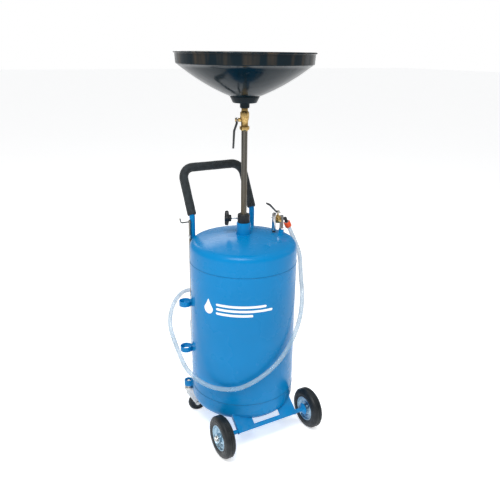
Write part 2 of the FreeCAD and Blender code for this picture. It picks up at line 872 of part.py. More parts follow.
def make_axle(envelope):
    axle_y = s.wheel_radius - s.half_depth
    axle_z = s.wheel_radius
    flare_end = s.track_half - s.hub_half - 1.5
    cone_length = 9.0
    tube = pipe("axle_pipe", s.axle_tube_radius, s.axle_radius, 2 * flare_end, -flare_end, axle_y,
                axle_z, "X")
    flares = []
    for side in (-1, 1):
        start = side * (flare_end - cone_length)
        flare = cone(f"axle_flare_{side + 1}", s.axle_tube_radius, s.axle_flare, cone_length,
                     along="X")
        turn = ALONG["X"] if side > 0 else Rotation(Vector(0, 1, 0), -90)
        place(flare, start, axle_y, axle_z, turn)
        flares.append(flare)
    bar = rod("axle_bar_space", s.axle_radius, 2 * flare_end, -flare_end, axle_y, axle_z, "X")
    node(cut("axle_tube", fuse("axle_tube_solid", tube, *flares), bar))
    end = s.track_half + s.hub_half + 9
    node(rod("front_axle", s.axle_radius, 2 * end, -end, axle_y, axle_z, "X"))
    washers = []
    nuts = []
    for side in (-1, 1):
        at = side * (s.track_half + s.hub_half + s.free_gap)
        washer_start = at if side > 0 else at - 1.6
        washers.append(pipe(f"axle_washer_{side + 1}", 12.0, s.axle_radius, 1.6, washer_start,
                            axle_y, axle_z, "X"))
        nut_start = at + 1.6 if side > 0 else at - 1.6 - 7.0
        blank = hexagon(f"axle_nut_blank_{side + 1}", 10.5, 7.0, nut_start, axle_y, axle_z, "X")
        hole = rod(f"axle_nut_hole_{side + 1}", s.axle_radius, 7.0, nut_start, axle_y, axle_z, "X")
        nuts.append(cut(f"axle_nut_{side + 1}", blank, hole))
    node(group("axle_washers", *washers))
    node(group("axle_nuts", *nuts))
    make_bracket(envelope, axle_y, axle_z)
    for side, label in ((-1, "left"), (1, "right")):
        make_front_wheel(label, side * s.track_half, axle_y, axle_z)


def make_bracket(envelope, axle_y, axle_z):
    """The sloping sheet-metal bracket from the axle tube to the tank's bottom end."""
    half = s.bracket_half_width
    low = s.axle_tube_radius
    high = low + s.bracket_sheet
    front = -high
    sheet = block("bracket_sheet_blank", (-half, front, low), (half, s.bracket_depth, high))
    cheeks = []
    for side in (-1, 1):
        start = -half if side < 0 else half - s.bracket_sheet
        cheeks.append(block(f"bracket_cheek_{side + 1}", (start, front, high - s.bracket_cheek),
                            (start + s.bracket_sheet, s.bracket_depth, high)))
    window = block("bracket_window", (-s.window_half_width, 6, low - 1),
                   (s.window_half_width, 46, high + 1))
    tube_space = rod("bracket_tube_space", s.axle_tube_radius, 2 * half, -half, 0, 0, "X")
    folded = cut("bracket_folded", fuse("bracket_blank", sheet, *cheeks), window, tube_space)
    place(folded, 0, axle_y, axle_z, Rotation(Vector(1, 0, 0), float(s.bracket_slope)))
    node(cut("axle_bracket", folded, envelope))


def make_front_wheel(label, x, y, z):
    """One rubber-tyred wheel: a tyre and a pressed steel rim that runs on the axle."""
    radius = s.wheel_radius
    half = 0.5 * s.wheel_width
    rim = s.rim_radius
    shoulder = 11.0
    tyre = turned(f"front_tyre_{label}", [
        (rim, -half + 5),
        (rim + 6, -half, 9.0),
        (radius - shoulder, -half),
        (radius, -half + shoulder + 2, 16.0),
        (radius, half - shoulder - 2),
        (radius - shoulder, half, 16.0),
        (rim + 6, half),
        (rim, half - 5, 9.0),
    ])
    node(place(tyre, x, y, z, ALONG["X"]))
    bore = s.axle_radius + s.fit_gap
    hub = s.hub_radius
    rim_body = turned(f"front_rim_{label}", [
        (bore, -s.hub_half),
        (hub, -s.hub_half),
        (hub, -8),
        (rim - 9, -8),
        (rim - 4, -half + 5),
        (rim, -half + 5),
        (rim, half - 5),
        (rim - 4, half - 5),
        (rim - 9, 8),
        (hub, 8),
        (hub, s.hub_half),
        (bore, s.hub_half),
    ])
    node(place(rim_body, x, y, z, ALONG["X"]))


# ---------------------------------------------------------------------------- rear casters

def make_casters(envelope):
    reach = s.tank_radius + s.ear_radius + 1
    ears = []
    nuts = []
    for side, label in ((1, "left"), (-1, "right")):
        x = side * along_x(reach, s.caster_azimuth)
        y = along_y(reach, s.caster_azimuth)
        heading = s.caster_trail_azimuth if side > 0 else 180 - s.caster_trail_azimuth
        ears.append(caster_ear(label, side, x, y, envelope))
        nuts.append(caster_nut(label, x, y))
        make_caster(label, x, y, heading)
    node(group("caster_ears", *ears))
    node(group("caster_nuts", *nuts))


def caster_ear(label, side, x, y, envelope):
    """The short pipe boss, welded to the tank by a web, that takes a caster's stud."""
    blank = rod(f"ear_blank_{label}", s.ear_radius, s.ear_height, x, y, s.ear_foot)
    toward = s.caster_azimuth + 180 if side > 0 else 0 - s.caster_azimuth
    web_width = 24
    web = block(f"ear_web_{label}", (0, 0, 0), (30, web_width, s.ear_height))
    shift = facing(toward).multVec(Vector(0, -web_width / 2, 0))
    place(web, x + shift.x, y + shift.y, s.ear_foot, facing(toward))
    pocket = rod(f"ear_pocket_{label}", s.caster_nut_radius + 1.5, s.ear_height, x, y,
                 s.ear_foot + s.ear_floor)
    hole = rod(f"ear_hole_{label}", s.stud_radius, s.ear_floor, x, y, s.ear_foot)
    return cut(f"caster_ear_{label}", fuse(f"ear_solid_{label}", blank, web), pocket, hole, envelope)


def caster_nut(label, x, y):
    height = 8
    floor = s.ear_foot + s.ear_floor
    blank = hexagon(f"nut_blank_{label}", s.caster_nut_radius, height, x, y, floor)
    hole = rod(f"nut_hole_{label}", s.stud_radius, height, x, y, floor)
    return cut(f"caster_nut_{label}", blank, hole)


def make_caster(label, x, y, heading):
    """One swivel caster: kingpin on the tank, fork and wheel below it."""
    race_height = 6
    race_foot = s.ear_foot - race_height
    crown_top = race_foot - s.free_gap
    crown = 3.0
    pin_foot = crown_top - crown - s.free_gap
    head = 3
    race = rod(f"race_{label}", s.race_radius - 4, race_height, x, y, race_foot)
    stud = rod(f"stud_{label}", s.stud_radius, s.ear_floor + 11, x, y, s.ear_foot)
    pin = rod(f"pin_{label}", s.kingpin_radius, race_foot - pin_foot, x, y, pin_foot)
    pin_head = rod(f"pin_head_{label}", s.kingpin_radius + 4, head, x, y, pin_foot - head)
    node(fuse(f"caster_kingpin_{label}", race, stud, pin, pin_head))
    make_fork(label, x, y, crown_top, crown, heading)


def make_fork(label, x, y, crown_top, crown, heading):
    """The caster's fork, wheel and axle bolt, made in line with local X and then turned."""
    turn = facing(heading)
    trail = s.caster_trail
    axle = s.caster_wheel_radius - crown_top
    inner = 0.5 * s.caster_wheel_width + 1.5
    sheet = s.fork_sheet
    top = turned(f"caster_crown_{label}", [
        (s.kingpin_radius + s.fit_gap, 0),
        (s.race_radius, 0),
        (s.race_radius, -11),
        (s.race_radius - sheet, -11),
        (s.race_radius - sheet, -crown),
        (s.kingpin_radius + s.fit_gap, -crown),
    ])
    legs = []
    for way in (-1, 1):
        leg = plate(f"caster_leg_{label}_{way + 1}", [
            (-12, -crown),
            (-14, -22),
            (trail - 10, axle),
            (trail, axle - 10, 10.0),
            (trail + 10, axle, 10.0),
            (12, -crown),
        ], sheet)
        offset = way * (inner + 0.5 * sheet)
        place(leg, 0, offset, 0)
        legs.append(leg)
    bolt_hole = rod(f"caster_bolt_hole_{label}", s.caster_bolt_radius, 60, trail, -30, axle, "Y")
    fork = cut(f"caster_fork_{label}", fuse(f"caster_fork_solid_{label}", top, *legs), bolt_hole)
    node(place(fork, x, y, crown_top, turn))
    reach = inner + sheet
    bolt = rod(f"caster_bolt_bar_{label}", s.caster_bolt_radius, 2 * reach + 6, trail, -reach - 3,
               axle, "Y")
    heads = [hexagon(f"caster_bolt_head_{label}_{way}", 6.6, 3.4, trail, start, axle, "Y")
             for way, start in (("in", -reach - 3.4), ("out", reach))]
    node(place(fuse(f"caster_bolt_{label}", bolt, *heads), x, y, crown_top, turn))
    half = 0.5 * s.caster_wheel_width
    radius = s.caster_wheel_radius
    wheel = turned(f"caster_wheel_{label}", [
        (s.caster_bolt_radius + s.fit_gap, -half - 1),
        (9, -half - 1),
        (9, -half + 2),
        (radius - 11, -half + 2),
        (radius - 7, -half),
        (radius, -half + 7, 7.0),
        (radius, half - 7),
        (radius - 7, half, 7.0),
        (radius - 11, half - 2),
        (9, half - 2),
        (9, half + 1),
        (s.caster_bolt_radius + s.fit_gap, half + 1),
    ])
    ahead = facing(heading).multVec(Vector(float(trail), 0, 0))
    wheel_x = x + trail * cosine(heading)
    wheel_y = y + trail * sine(heading)
    node(place(wheel, wheel_x, wheel_y, s.caster_wheel_radius, turn * ALONG["Y"]))


# ---------------------------------------------------------------------------- discharge head

def make_head():
    """The boss, column, dip tube, air inlet and hose outlet on the top dished end."""
    turn = facing(s.head_azimuth)
    x, y = head_x(0), head_y(0)
    boss = rod("boss_blank", s.boss_radius, s.boss_top - s.boss_foot, x, y, s.boss_foot)
    boss_bore = rod("boss_bore", s.column_radius, s.boss_top - s.boss_foot, x, y, s.boss_foot)
    node(cut("head_boss", boss, boss_bore))
    column_foot = s.boss_top - 22
    dip_bore = s.dip_radius
    node(pipe("dip_tube", s.dip_radius, s.dip_radius - 1, column_foot + 20 - s.dip_foot, x, y,
              s.dip_foot))
    column = rod("column_blank", s.column_radius, s.column_top - column_foot, x, y, column_foot)
    shoulder = hexagon("column_hex", s.boss_radius, 8, x, y, s.boss_top)
    column_bore = rod("column_bore", dip_bore, 56, x, y, column_foot)
    node(cut("head_column", fuse("column_solid", column, shoulder), column_bore))
    make_air_valve(turn)
    make_outlet(turn)


def make_air_valve(turn):
    """The air inlet: a small ball valve and an upright coupler with a dust cap."""
    height = s.air_valve_height
    start = s.column_radius
    end = s.coupler_reach - s.coupler_radius
    middle = 0.5 * (start + end)
    length = end - start
    ball_radius = 6.5
    body = rod("air_body_blank", s.air_valve_radius, length - 3, x=-end + 3, along="X")
    neck = rod("air_neck", 6.0, length, x=-end, along="X")
    bonnet = rod("air_bonnet", 6.5, s.air_valve_radius + 3, x=-middle)
    flow = rod("air_flow", 3.0, length, x=-end, along="X")
    pocket = ball("air_pocket", ball_radius + s.fit_gap, x=-middle)
    stem_space = rod("air_stem_space", s.stem_radius + s.fit_gap, 40, x=-middle)
    column_space = rod("air_column_space", s.column_radius, 60, z=-30)
    coupler_space = rod("air_coupler_space", s.coupler_radius, 60, x=-s.coupler_reach, z=-30)
    body = cut("air_valve_body", fuse("air_body_solid", body, neck, bonnet), flow, pocket, stem_space,
               column_space, coupler_space)
    node(place(body, head_x(0), head_y(0), height, turn))
    lever_turn = turn * Rotation(Vector(0, 1, 0), -90)
    at = (head_x(-middle), head_y(-middle), height)
    lever = LeverShape(s.air_lever_reach, s.air_lever_length, 6.5, 34.0, 31.0, 1)
    make_handle_set("air", ball_radius, 3.0, lever, at, lever_turn)
    x, y = head_x(-s.coupler_reach), head_y(-s.coupler_reach)
    cap_height = 7.0
    foot = s.coupler_foot + cap_height
    tube = rod("coupler_tube", s.coupler_radius, s.coupler_top - foot, x, y, foot)
    bleed = rod("coupler_bleed", 1.3, 14, along="X")
    place(bleed, x, y, s.coupler_top - 17, turn * Rotation(Vector(0, 0, 1), 180) * ALONG["X"])
    mouth = rod("coupler_mouth", 4.0, 22, x, y, foot)
    node(cut("air_coupler", fuse("coupler_solid", tube, bleed), mouth))
    node(turned_cap(x, y, foot, cap_height))


def turned_cap(x, y, foot, height):
    cap = turned("coupler_cap", [
        (0, -height),
        (s.coupler_radius - 1.5, -height),
        (s.coupler_radius - 0.2, -height + 2),
        (s.coupler_radius - 0.2, 0),
        (0, 0),
    ])
    return place(cap, x, y, foot)


def make_outlet(turn):
    """The black elbow that leads to the hose, and the orange collar on the hose's end."""
    height = s.outlet_height
    elbow_reach = 16.0
    spout_length = 16.0
    stub = rod("outlet_stub", 6.0, elbow_reach - 3, x=3, along="X")
    knee = ball("outlet_knee", 6.6, x=elbow_reach)
    column_space = rod("outlet_column_space", s.column_radius, 60, z=-30)
    down = Rotation(Vector(0, 1, 0), 180 - float(s.outlet_tilt))
    spout = rod("outlet_spout", 6.2, spout_length, elbow_reach, 0, 0)
    spout.Placement.Rotation = down
    elbow = cut("outlet_elbow", fuse("outlet_solid", stub, knee, spout), column_space)
    node(place(elbow, head_x(0), head_y(0), height, turn))
    lean = s.outlet_tilt
    collar_bore = s.hose_radius + 2 * s.fit_gap
    collar = pipe("hose_collar", s.hose_collar_radius, collar_bore, s.hose_collar_length)
    start = spout_length + s.free_gap
    x = head_x(elbow_reach + start * sine(lean))
    y = head_y(elbow_reach + start * sine(lean))
    node(place(collar, x, y, height - start * cosine(lean), turn * down))


# The hose's route, point by point from the outlet elbow to the foot of the wand.  It leaves the
# elbow down over the tank's right shoulder, crosses the front of the tank in one long sag, makes a
# wide loop on the left over the upper holder ring, goes behind the tank and hangs there in a bight
# whose last runs rise into the wand.
HOSE_ROUTE = [
    (179.6, -20.5, 818.5), (198.5, -22.6, 777.7), (227.5, -15.7, 727.2),
    (241.5, -33.3, 675.6),
    (228, -61, 605), (209, -109, 527), (161, -162, 453), (89, -204, 387), (9, -224, 327),
    (-80, -208, 275), (-139, -173, 247), (-207, -104, 245), (-257, -26, 284), (-267, 41, 356),
    (-273, 103, 432), (-232, 153, 494), (-164, 199, 519), (-86, 232, 486), (-20, 250, 410),
    (20, 252, 325), (33, 251, 240), (24, 246, 170), (-20, 232, 124), (-82, 211, 122),
    (-126, 183, 166), (-142, 166, 236), (-147.5, 160, 318), (-149.5, 158, 396),
]


def make_hose():
    points = [Vector(*point) for point in HOSE_ROUTE]
    path, radii = rounded_path(points)
    radius = float(s.hose_radius)
    hose = swept(path, radius)
    node(solid("discharge_hose", hose))
    expected = math.pi * radius ** 2 * path.Length
    print("hose length", round(path.Length, 1), "volume ratio", round(hose.Volume / expected, 4))
    print("hose bends", [round(value) for value in radii])
    runs = [(b - a).Length for a, b in zip(points, points[1:])]
    print("hose runs", [round(value) for value in runs])


def main():
    envelope = tank_envelope()
    make_tank()
    make_socket()
    make_collar()
    make_clamp()
    make_mast()
    make_bowl()
    make_strainer()
    make_drain_valve()
    make_handle()
    make_wand()
    make_holder_rings(envelope)
    make_axle(envelope)
    make_casters(envelope)
    make_head()
    make_hose()
    doc.recompute()
    failed = [o.Name for o in doc.Objects if "Invalid" in o.State or "Error" in o.State]
    if failed:
        raise RuntimeError(f"failed objects: {failed}")
    os.makedirs("parts", exist_ok=True)
    for label, obj in parts.items():
        shape = obj.Shape
        if shape.isNull() or not shape.isValid() or not shape.Solids:
            raise RuntimeError(f"bad shape: {label}")
        shape.exportStep(f"parts/{label}.step")
    print(len(parts), "nodes")


main()
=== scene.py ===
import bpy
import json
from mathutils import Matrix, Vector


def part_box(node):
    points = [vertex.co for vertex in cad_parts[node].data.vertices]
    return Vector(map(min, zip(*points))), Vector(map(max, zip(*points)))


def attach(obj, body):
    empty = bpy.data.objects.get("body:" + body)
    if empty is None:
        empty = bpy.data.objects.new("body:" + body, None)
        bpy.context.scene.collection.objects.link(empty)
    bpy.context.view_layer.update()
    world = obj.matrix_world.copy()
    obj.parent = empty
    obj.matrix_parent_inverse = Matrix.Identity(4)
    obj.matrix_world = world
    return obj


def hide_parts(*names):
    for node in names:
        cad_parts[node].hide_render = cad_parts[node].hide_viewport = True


bl_info = {
    "name": "Waste Oil Drainer",
    "version": (1, 0, 0),
    "blender": (4, 5, 0),
    "location": "View3D > Sidebar > Drainer",
    "description": "Finishes a rolling waste-oil drainer round its engineering frame",
    "category": "Object",
}

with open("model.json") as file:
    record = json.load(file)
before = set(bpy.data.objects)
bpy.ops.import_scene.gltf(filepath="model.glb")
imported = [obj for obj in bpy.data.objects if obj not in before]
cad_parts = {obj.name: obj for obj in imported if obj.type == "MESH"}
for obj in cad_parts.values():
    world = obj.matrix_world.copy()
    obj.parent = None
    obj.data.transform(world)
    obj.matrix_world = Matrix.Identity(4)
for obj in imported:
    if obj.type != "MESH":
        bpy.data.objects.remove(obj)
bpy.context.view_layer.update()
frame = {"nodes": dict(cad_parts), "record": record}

import json
import math
from math import cos, pi, radians, sin, sqrt

import bmesh
import bpy
from bpy.props import FloatProperty, FloatVectorProperty, IntProperty, PointerProperty
from mathutils import Matrix, Vector, noise

RECORD = frame["record"]
BODY_OF = {n: body for body, nodes in RECORD["behaviour"]["bodies"].items() for n in nodes}
SLOT_OF = {entry["node"]: entry["material_slot"] for entry in RECORD["subparts"]}

TANK_LOW, TANK_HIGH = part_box("tank_wall")
BOWL_LOW, BOWL_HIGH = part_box("drain_bowl")
WHEEL_LOW, WHEEL_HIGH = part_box("front_tyre_left")
TANK_RADIUS = TANK_HIGH.x
WELD_DISTANCE = 2e-6
FLAT_ANGLE = radians(0.5)
ON_AXIS = 1e-7
UP = Vector((0, 0, 1))


# ---------- settings a user may change


def colour_property(name, description, value):
    return FloatVectorProperty(
        name=name, description=description, default=value, subtype="COLOR", size=3, min=0, max=1)


def length_property(name, description, value):
    return FloatProperty(name=name, description=description, default=value, unit="LENGTH", min=0)


def angle_property(name, description, degrees):
    return FloatProperty(name=name, description=description, default=radians(degrees), unit="ROTATION")


class DrainerColours(bpy.types.PropertyGroup):
    tank: colour_property("Tank enamel", "Blue of the tank and its brackets", (0.001, 0.200, 0.485))
    bowl: colour_property("Bowl", "Black polyethylene of the drain bowl", (0.002, 0.009, 0.014))
    moulding: colour_property("Mouldings", "Black nylon of knob and collar", (0.016, 0.018, 0.020))
    foam: colour_property("Foam grip", "Closed-cell foam", (0.011, 0.016, 0.019))
    tyre: colour_property("Tyres", "Tyre rubber", (0.010, 0.014, 0.017))
    brass: colour_property("Brass", "Valve bodies", (0.500, 0.350, 0.140))
    steel: colour_property("Mast steel", "Drawn tube", (0.270, 0.262, 0.235))
    zinc: colour_property("Zinc plate", "Small plated pieces", (0.480, 0.490, 0.500))
    rim: colour_property("Wheel discs", "Blue-white zinc", (0.330, 0.470, 0.570))
    hose: colour_property("Hose", "Clear vinyl", (0.340, 0.500, 0.630))
    collar: colour_property("Hose collar", "Orange-red plastic", (0.760, 0.085, 0.020))
    mark: colour_property("Mark", "White transfer on the tank", (0.900, 0.910, 0.920))


class DrainerShape(bpy.types.PropertyGroup):
    turns: IntProperty(name="Segments", description="Steps round a turned piece", default=144, min=24)
    edge: length_property("Edge", "Easing of a machined edge", 0.0006)
    seam_bead: length_property("Seam bead", "Radius of a bead along the tank's seams", 0.0021)
    fitting_bead: length_property("Fitting bead", "Radius of a bead round a fitting", 0.0019)
    bead_pitch: length_property("Bead pitch", "Distance between the ripples of a weld", 0.0026)
    hose_radius: length_property("Hose radius", "Outer radius of the hose", 0.0085)
    mark_height: length_property("Mark height", "Height of the transfer's middle", 0.562)


class DrainerStage(bpy.types.PropertyGroup):
    floor: colour_property("Floor", "Studio floor", (0.90, 0.905, 0.91))
    azimuth: angle_property("Camera azimuth", "Bearing of the camera", -29.42)
    distance: length_property("Camera distance", "Across the floor to the mast", 2.0434)
    height: length_property("Camera height", "Above the floor", 1.44465)
    pitch: angle_property("Pitch", "Downward tilt", 19.39)
    yaw: angle_property("Yaw", "Turn to the side", 0.71)
    roll: angle_property("Roll", "Lean", 0.79)
    lens: FloatProperty(name="Lens", description="Focal length in mm", default=40.98)


SETTINGS = {"drainer_colours": DrainerColours, "drainer_shape": DrainerShape, "drainer_stage": DrainerStage}


# ---------- shader maths


class Value:
    """A shader socket on which sums can be written."""

    def __init__(self, shader, socket):
        self.shader = shader
        self.socket = socket

    def maths(self, operation, first, second=None):
        values = {0: first} if second is None else {0: first, 1: second}
        return self.shader.add("ShaderNodeMath", {"operation": operation}, values)

    def __add__(self, other):
        return self.maths("ADD", self, other)

    __radd__ = __add__

    def __mul__(self, other):
        return self.maths("MULTIPLY", self, other)

    __rmul__ = __mul__

    def __sub__(self, other):
        return self.maths("SUBTRACT", self, other)

    def __rsub__(self, other):
        return self.maths("SUBTRACT", other, self)


class Nodes:
    """The node tree of a material or a world under construction."""

    def __init__(self, owner, place):
        owner.use_nodes = True
        self.owner = owner
        self.tree = owner.node_tree
        self.tree.nodes.clear()
        self.place = self.add("ShaderNodeTexCoord", {}, {}, place)

    def add(self, kind, settings, values, result=0):
        """Add one node: its settings first, then the values or links of its sockets."""
        node = self.tree.nodes.new(kind)
        for name, setting in settings.items():
            setattr(node, name, setting)
        for key, value in values.items():
            self.feed(node.inputs[key], value)
        return Value(self, node.outputs[result]) if node.outputs else None

    def feed(self, socket, value):
        if isinstance(value, Value):
            self.tree.links.new(value.socket, socket)
        else:
            socket.default_value = value

    def stretched(self, x, y, z):
        return self.add("ShaderNodeMapping", {}, {"Vector": self.place, "Scale": (x, y, z)})

    def noise(self, scale, detail=2.0, vector=None, rough=0.5):
        values = {"Vector": vector or self.place, "Scale": scale, "Detail": detail, "Roughness": rough}
        return self.add("ShaderNodeTexNoise", {}, values)

    def cells(self, scale, vector=None, result="Distance"):
        return self.add(
            "ShaderNodeTexVoronoi", {}, {"Vector": vector or self.place, "Scale": scale}, result)

    def ramp(self, factor, low, high, start=0.0, end=1.0):
        values = {"Value": factor, "From Min": start, "From Max": end, "To Min": low, "To Max": high}
        return self.add("ShaderNodeMapRange", {}, values)

    def colours(self, factor, first, second):
        settings = {"data_type": "RGBA"}
        values = {"Factor": factor, 6: opaque(first), 7: opaque(second)}
        return self.add("ShaderNodeMix", settings, values, 2)

    def height(self):
        return self.add("ShaderNodeSeparateXYZ", {}, {"Vector": self.place}, "Z")


class Shader(Nodes):
    """A principled material under construction, its patterns read in metres."""

    def __init__(self, name):
        super().__init__(bpy.data.materials.new(name), "Object")
        self.surface = self.tree.nodes.new("ShaderNodeBsdfPrincipled")
        self.add("ShaderNodeOutputMaterial", {}, {"Surface": Value(self, self.surface.outputs[0])})

    def bump(self, *layers):
        """Stack bump layers given as (height, distance in metres, strength)."""
        normal = None
        for height, distance, strength in layers:
            values = {"Height": height, "Distance": distance, "Strength": strength}
            if normal:
                values["Normal"] = normal
            normal = self.add("ShaderNodeBump", {}, values)
        return normal

    def metal(self, base, rough, normal):
        return self.finish(Base_Color=base, Roughness=rough, Metallic=1.0, Normal=normal)

    def plastic(self, base, rough, normal, shine):
        return self.finish(
            Base_Color=base, Roughness=rough, Normal=normal, IOR=1.45, Specular_IOR_Level=shine)

    def finish(self, **inputs):
        for name, value in inputs.items():
            self.feed(self.surface.inputs[name.replace("_", " ")], value)
        return self.owner


def opaque(colour):
    """A colour with its alpha; a pattern of colours stays as it is."""
    if isinstance(colour, Value):
        return colour
    return (*colour, 1.0)


def shade(colour, factor):
    return tuple(min(1.0, channel * factor) for channel in colour)


# ---------- finishes


def enamel(name, colour):
    """Gloss enamel over rolled sheet: faint waves, orange peel and a little road dust low down."""
    m = Shader(name)
    patches = m.ramp(m.noise(2.6, 3.0), 0.0, 1.0, 0.35, 0.65)
    fresh = m.colours(patches, shade(colour, 0.93), shade(colour, 1.08))
    low_down = m.ramp(m.height(), 1.0, 0.0, 0.03, 0.24)
    dust = low_down * m.ramp(m.noise(22, 5.0), 0.0, 0.28, 0.45, 0.75)
    base = m.colours(dust, fresh, (0.14, 0.20, 0.26))
    rough = m.ramp(m.noise(9, 4.0), 0.20, 0.34, 0.3, 0.7) + dust * 0.5
    ripples = m.noise(1.0, 2.0, m.stretched(4.5, 4.5, 26))
    normal = m.bump((ripples, 0.0026, 0.40), (m.noise(7, 1.0), 0.0030, 0.35),
                    (m.noise(620, 1.0), 0.00006, 0.28))
    return m.plastic(base, rough, normal, 0.2)


def gloss_polyethylene(name, colour):
    """Shiny blow-moulded plastic with soft waves and rubbed patches."""
    m = Shader(name)
    rim = m.ramp(m.height(), 0.0, 1.0, 1.399, 1.401)
    # painted reflection: lighter brownish upright streaks on the rim wall stand in for light reflected
    # there
    streaks = rim * m.ramp(m.noise(1.0, 2.0, m.stretched(34, 34, 1)), 0.0, 1.0, 0.48, 0.80)
    base = m.colours(streaks, colour, (0.050, 0.038, 0.026))
    scuffs = m.ramp(m.noise(1.0, 4.0, m.stretched(60, 60, 7)), 0.0, 1.0, 0.58, 0.80)
    rough = m.ramp(m.noise(14, 3.0), 0.10, 0.20, 0.3, 0.7) + scuffs * 0.22
    normal = m.bump((m.noise(1.0, 1.0, m.stretched(24, 24, 4)), 0.0016, 0.4),
                    (m.noise(900, 1.0), 0.00003, 0.2))
    return m.plastic(base, rough, normal, 0.16)


def moulded_plastic(name, colour, rough=0.42):
    """Injection-moulded plastic with a fine spark-eroded grain."""
    m = Shader(name)
    wear = m.ramp(m.noise(55, 5.0), 0.0, 1.0, 0.52, 0.78)
    base = m.colours(wear, colour, shade(colour, 1.7))
    level = m.ramp(m.noise(180, 3.0), rough - 0.07, rough + 0.1, 0.3, 0.7)
    grain = m.bump((m.cells(1700), 0.00008, 0.35))
    return m.plastic(base, level, grain, 0.35)


def rubber(name, colour, dusty=0.25):
    """Vulcanised rubber with a dry bloom."""
    m = Shader(name)
    bloom = m.ramp(m.noise(34, 5.0), 0.0, dusty, 0.42, 0.72)
    base = m.colours(bloom, colour, (0.13, 0.13, 0.125))
    level = m.ramp(m.noise(90, 3.0), 0.34, 0.52, 0.3, 0.7) + bloom * 0.3
    normal = m.bump((m.noise(1500, 2.0), 0.00006, 0.4), (m.noise(60, 2.0), 0.0003, 0.2))
    return m.plastic(base, level, normal, 0.3)


def foam(name, colour):
    """Closed-cell foam: fine open pores in a soft grey-black skin."""
    m = Shader(name)
    pores = m.cells(620)
    base = m.colours(m.ramp(m.noise(70, 4.0), 0.0, 1.0, 0.35, 0.7), shade(colour, 0.75), shade(colour, 1.7))
    # painted shade: the pores' colour is darkened to stand in for the shade inside them
    pore_shaded_base = m.colours(m.ramp(pores, 1.0, 0.0, 0.0, 0.35), base, shade(colour, 0.35))
    normal = m.bump((m.noise(120, 3.0), 0.0008, 0.4), (pores, 0.0005, 0.6))
    return m.finish(Base_Color=pore_shaded_base, Roughness=m.ramp(m.noise(260, 2.0), 0.72, 0.92), Normal=normal,
                    Sheen_Weight=0.2, Sheen_Roughness=0.4)


def drawn_steel(name, colour):
    """Drawn tube: long fine draw lines, a film of oil and a few brown bands."""
    m = Shader(name)
    lines = m.noise(1.0, 3.0, m.stretched(1500, 1500, 12))
    film = m.ramp(m.noise(1.0, 4.0, m.stretched(30, 30, 9)), 0.0, 1.0, 0.42, 0.68)
    base = m.colours(film, colour, (colour[0] * 0.72, colour[1] * 0.60, colour[2] * 0.45))
    level = m.ramp(lines, 0.20, 0.38) + film * 0.08
    normal = m.bump((lines, 0.00005, 0.3))
    return m.metal(base, level, normal)


def plated(name, colour, rough=0.26, tint=(0.62, 0.60, 0.50)):
    """Bright zinc plate: small spangle with a faint passivated tint."""
    m = Shader(name)
    spangle = m.cells(260, result="Color")
    cloud = m.ramp(m.noise(24, 3.0), 0.0, 0.6, 0.4, 0.75)
    base = m.colours(cloud, colour, tint)
    level = m.ramp(spangle, rough - 0.04, rough + 0.05) + m.ramp(m.noise(50, 3.0), 0.0, 0.10, 0.5, 0.8)
    normal = m.bump((m.noise(400, 1.0), 0.00002, 0.15))
    return m.metal(base, level, normal)


def chrome(name):
    """Chrome plate with soft smears."""
    m = Shader(name)
    smear = m.ramp(m.noise(70, 5.0), 0.0, 1.0, 0.5, 0.75)
    base = m.colours(smear, (0.62, 0.62, 0.63), (0.44, 0.43, 0.42))
    return m.metal(base, m.ramp(smear, 0.14, 0.30), m.bump((m.noise(300, 2.0), 0.00003, 0.2)))


def brass(name, colour):
    """Forged brass, machined on its flats: warm blotches and a slightly sandy skin."""
    m = Shader(name)
    tarnish = m.ramp(m.noise(120, 5.0), 0.0, 1.0, 0.40, 0.72)
    base = m.colours(tarnish, shade(colour, 1.22), (colour[0] * 0.62, colour[1] * 0.52, colour[2] * 0.42))
    level = m.ramp(m.noise(240, 3.0), 0.20, 0.36, 0.3, 0.7) + tarnish * 0.10
    normal = m.bump((m.noise(1300, 2.0), 0.00008, 0.45), (m.noise(160, 1.0), 0.0002, 0.2))
    return m.metal(base, level, normal)


def clear_vinyl(name, colour):
    """Clear blue-tinted vinyl with faint extrusion lines and a haze of oil inside."""
    m = Shader(name)
    haze = m.ramp(m.noise(26, 4.0), 0.0, 1.0, 0.35, 0.70)
    base = m.colours(haze, colour, shade(colour, 0.84))
    return m.finish(Base_Color=base, Roughness=m.ramp(haze, 0.10, 0.22), Alpha=m.ramp(haze, 0.42, 0.56),
                    Normal=m.bump((m.noise(210, 2.0), 0.0002, 0.2)), IOR=1.45, Specular_IOR_Level=0.6)


def vinyl_dip(name, colour):
    """Soft dipped vinyl on a lever, glossy with drips levelled out."""
    m = Shader(name)
    level = m.ramp(m.noise(150, 3.0), 0.22, 0.36)
    normal = m.bump((m.noise(230, 2.0), 0.0004, 0.35))
    base = m.colours(m.noise(90, 3.0), colour, shade(colour, 1.8))
    return m.finish(Base_Color=base, Roughness=level, Normal=normal, IOR=1.5)


def transfer(name, colour):
    """A white vinyl transfer with slightly worn patches."""
    m = Shader(name)
    worn = m.ramp(m.noise(160, 5.0), 0.0, 0.25, 0.55, 0.75)
    base = m.colours(worn, colour, shade(colour, 0.82))
    level = m.ramp(m.noise(60, 2.0), 0.30, 0.45)
    return m.finish(Base_Color=base, Roughness=level, Normal=m.bump((m.noise(500), 0.00004, 0.2)))


FINISHES = {}


def paint(piece, finish):
    """Give a piece one finish in place of what it has."""
    piece.data.materials.clear()
    piece.data.materials.append(FINISHES[finish])


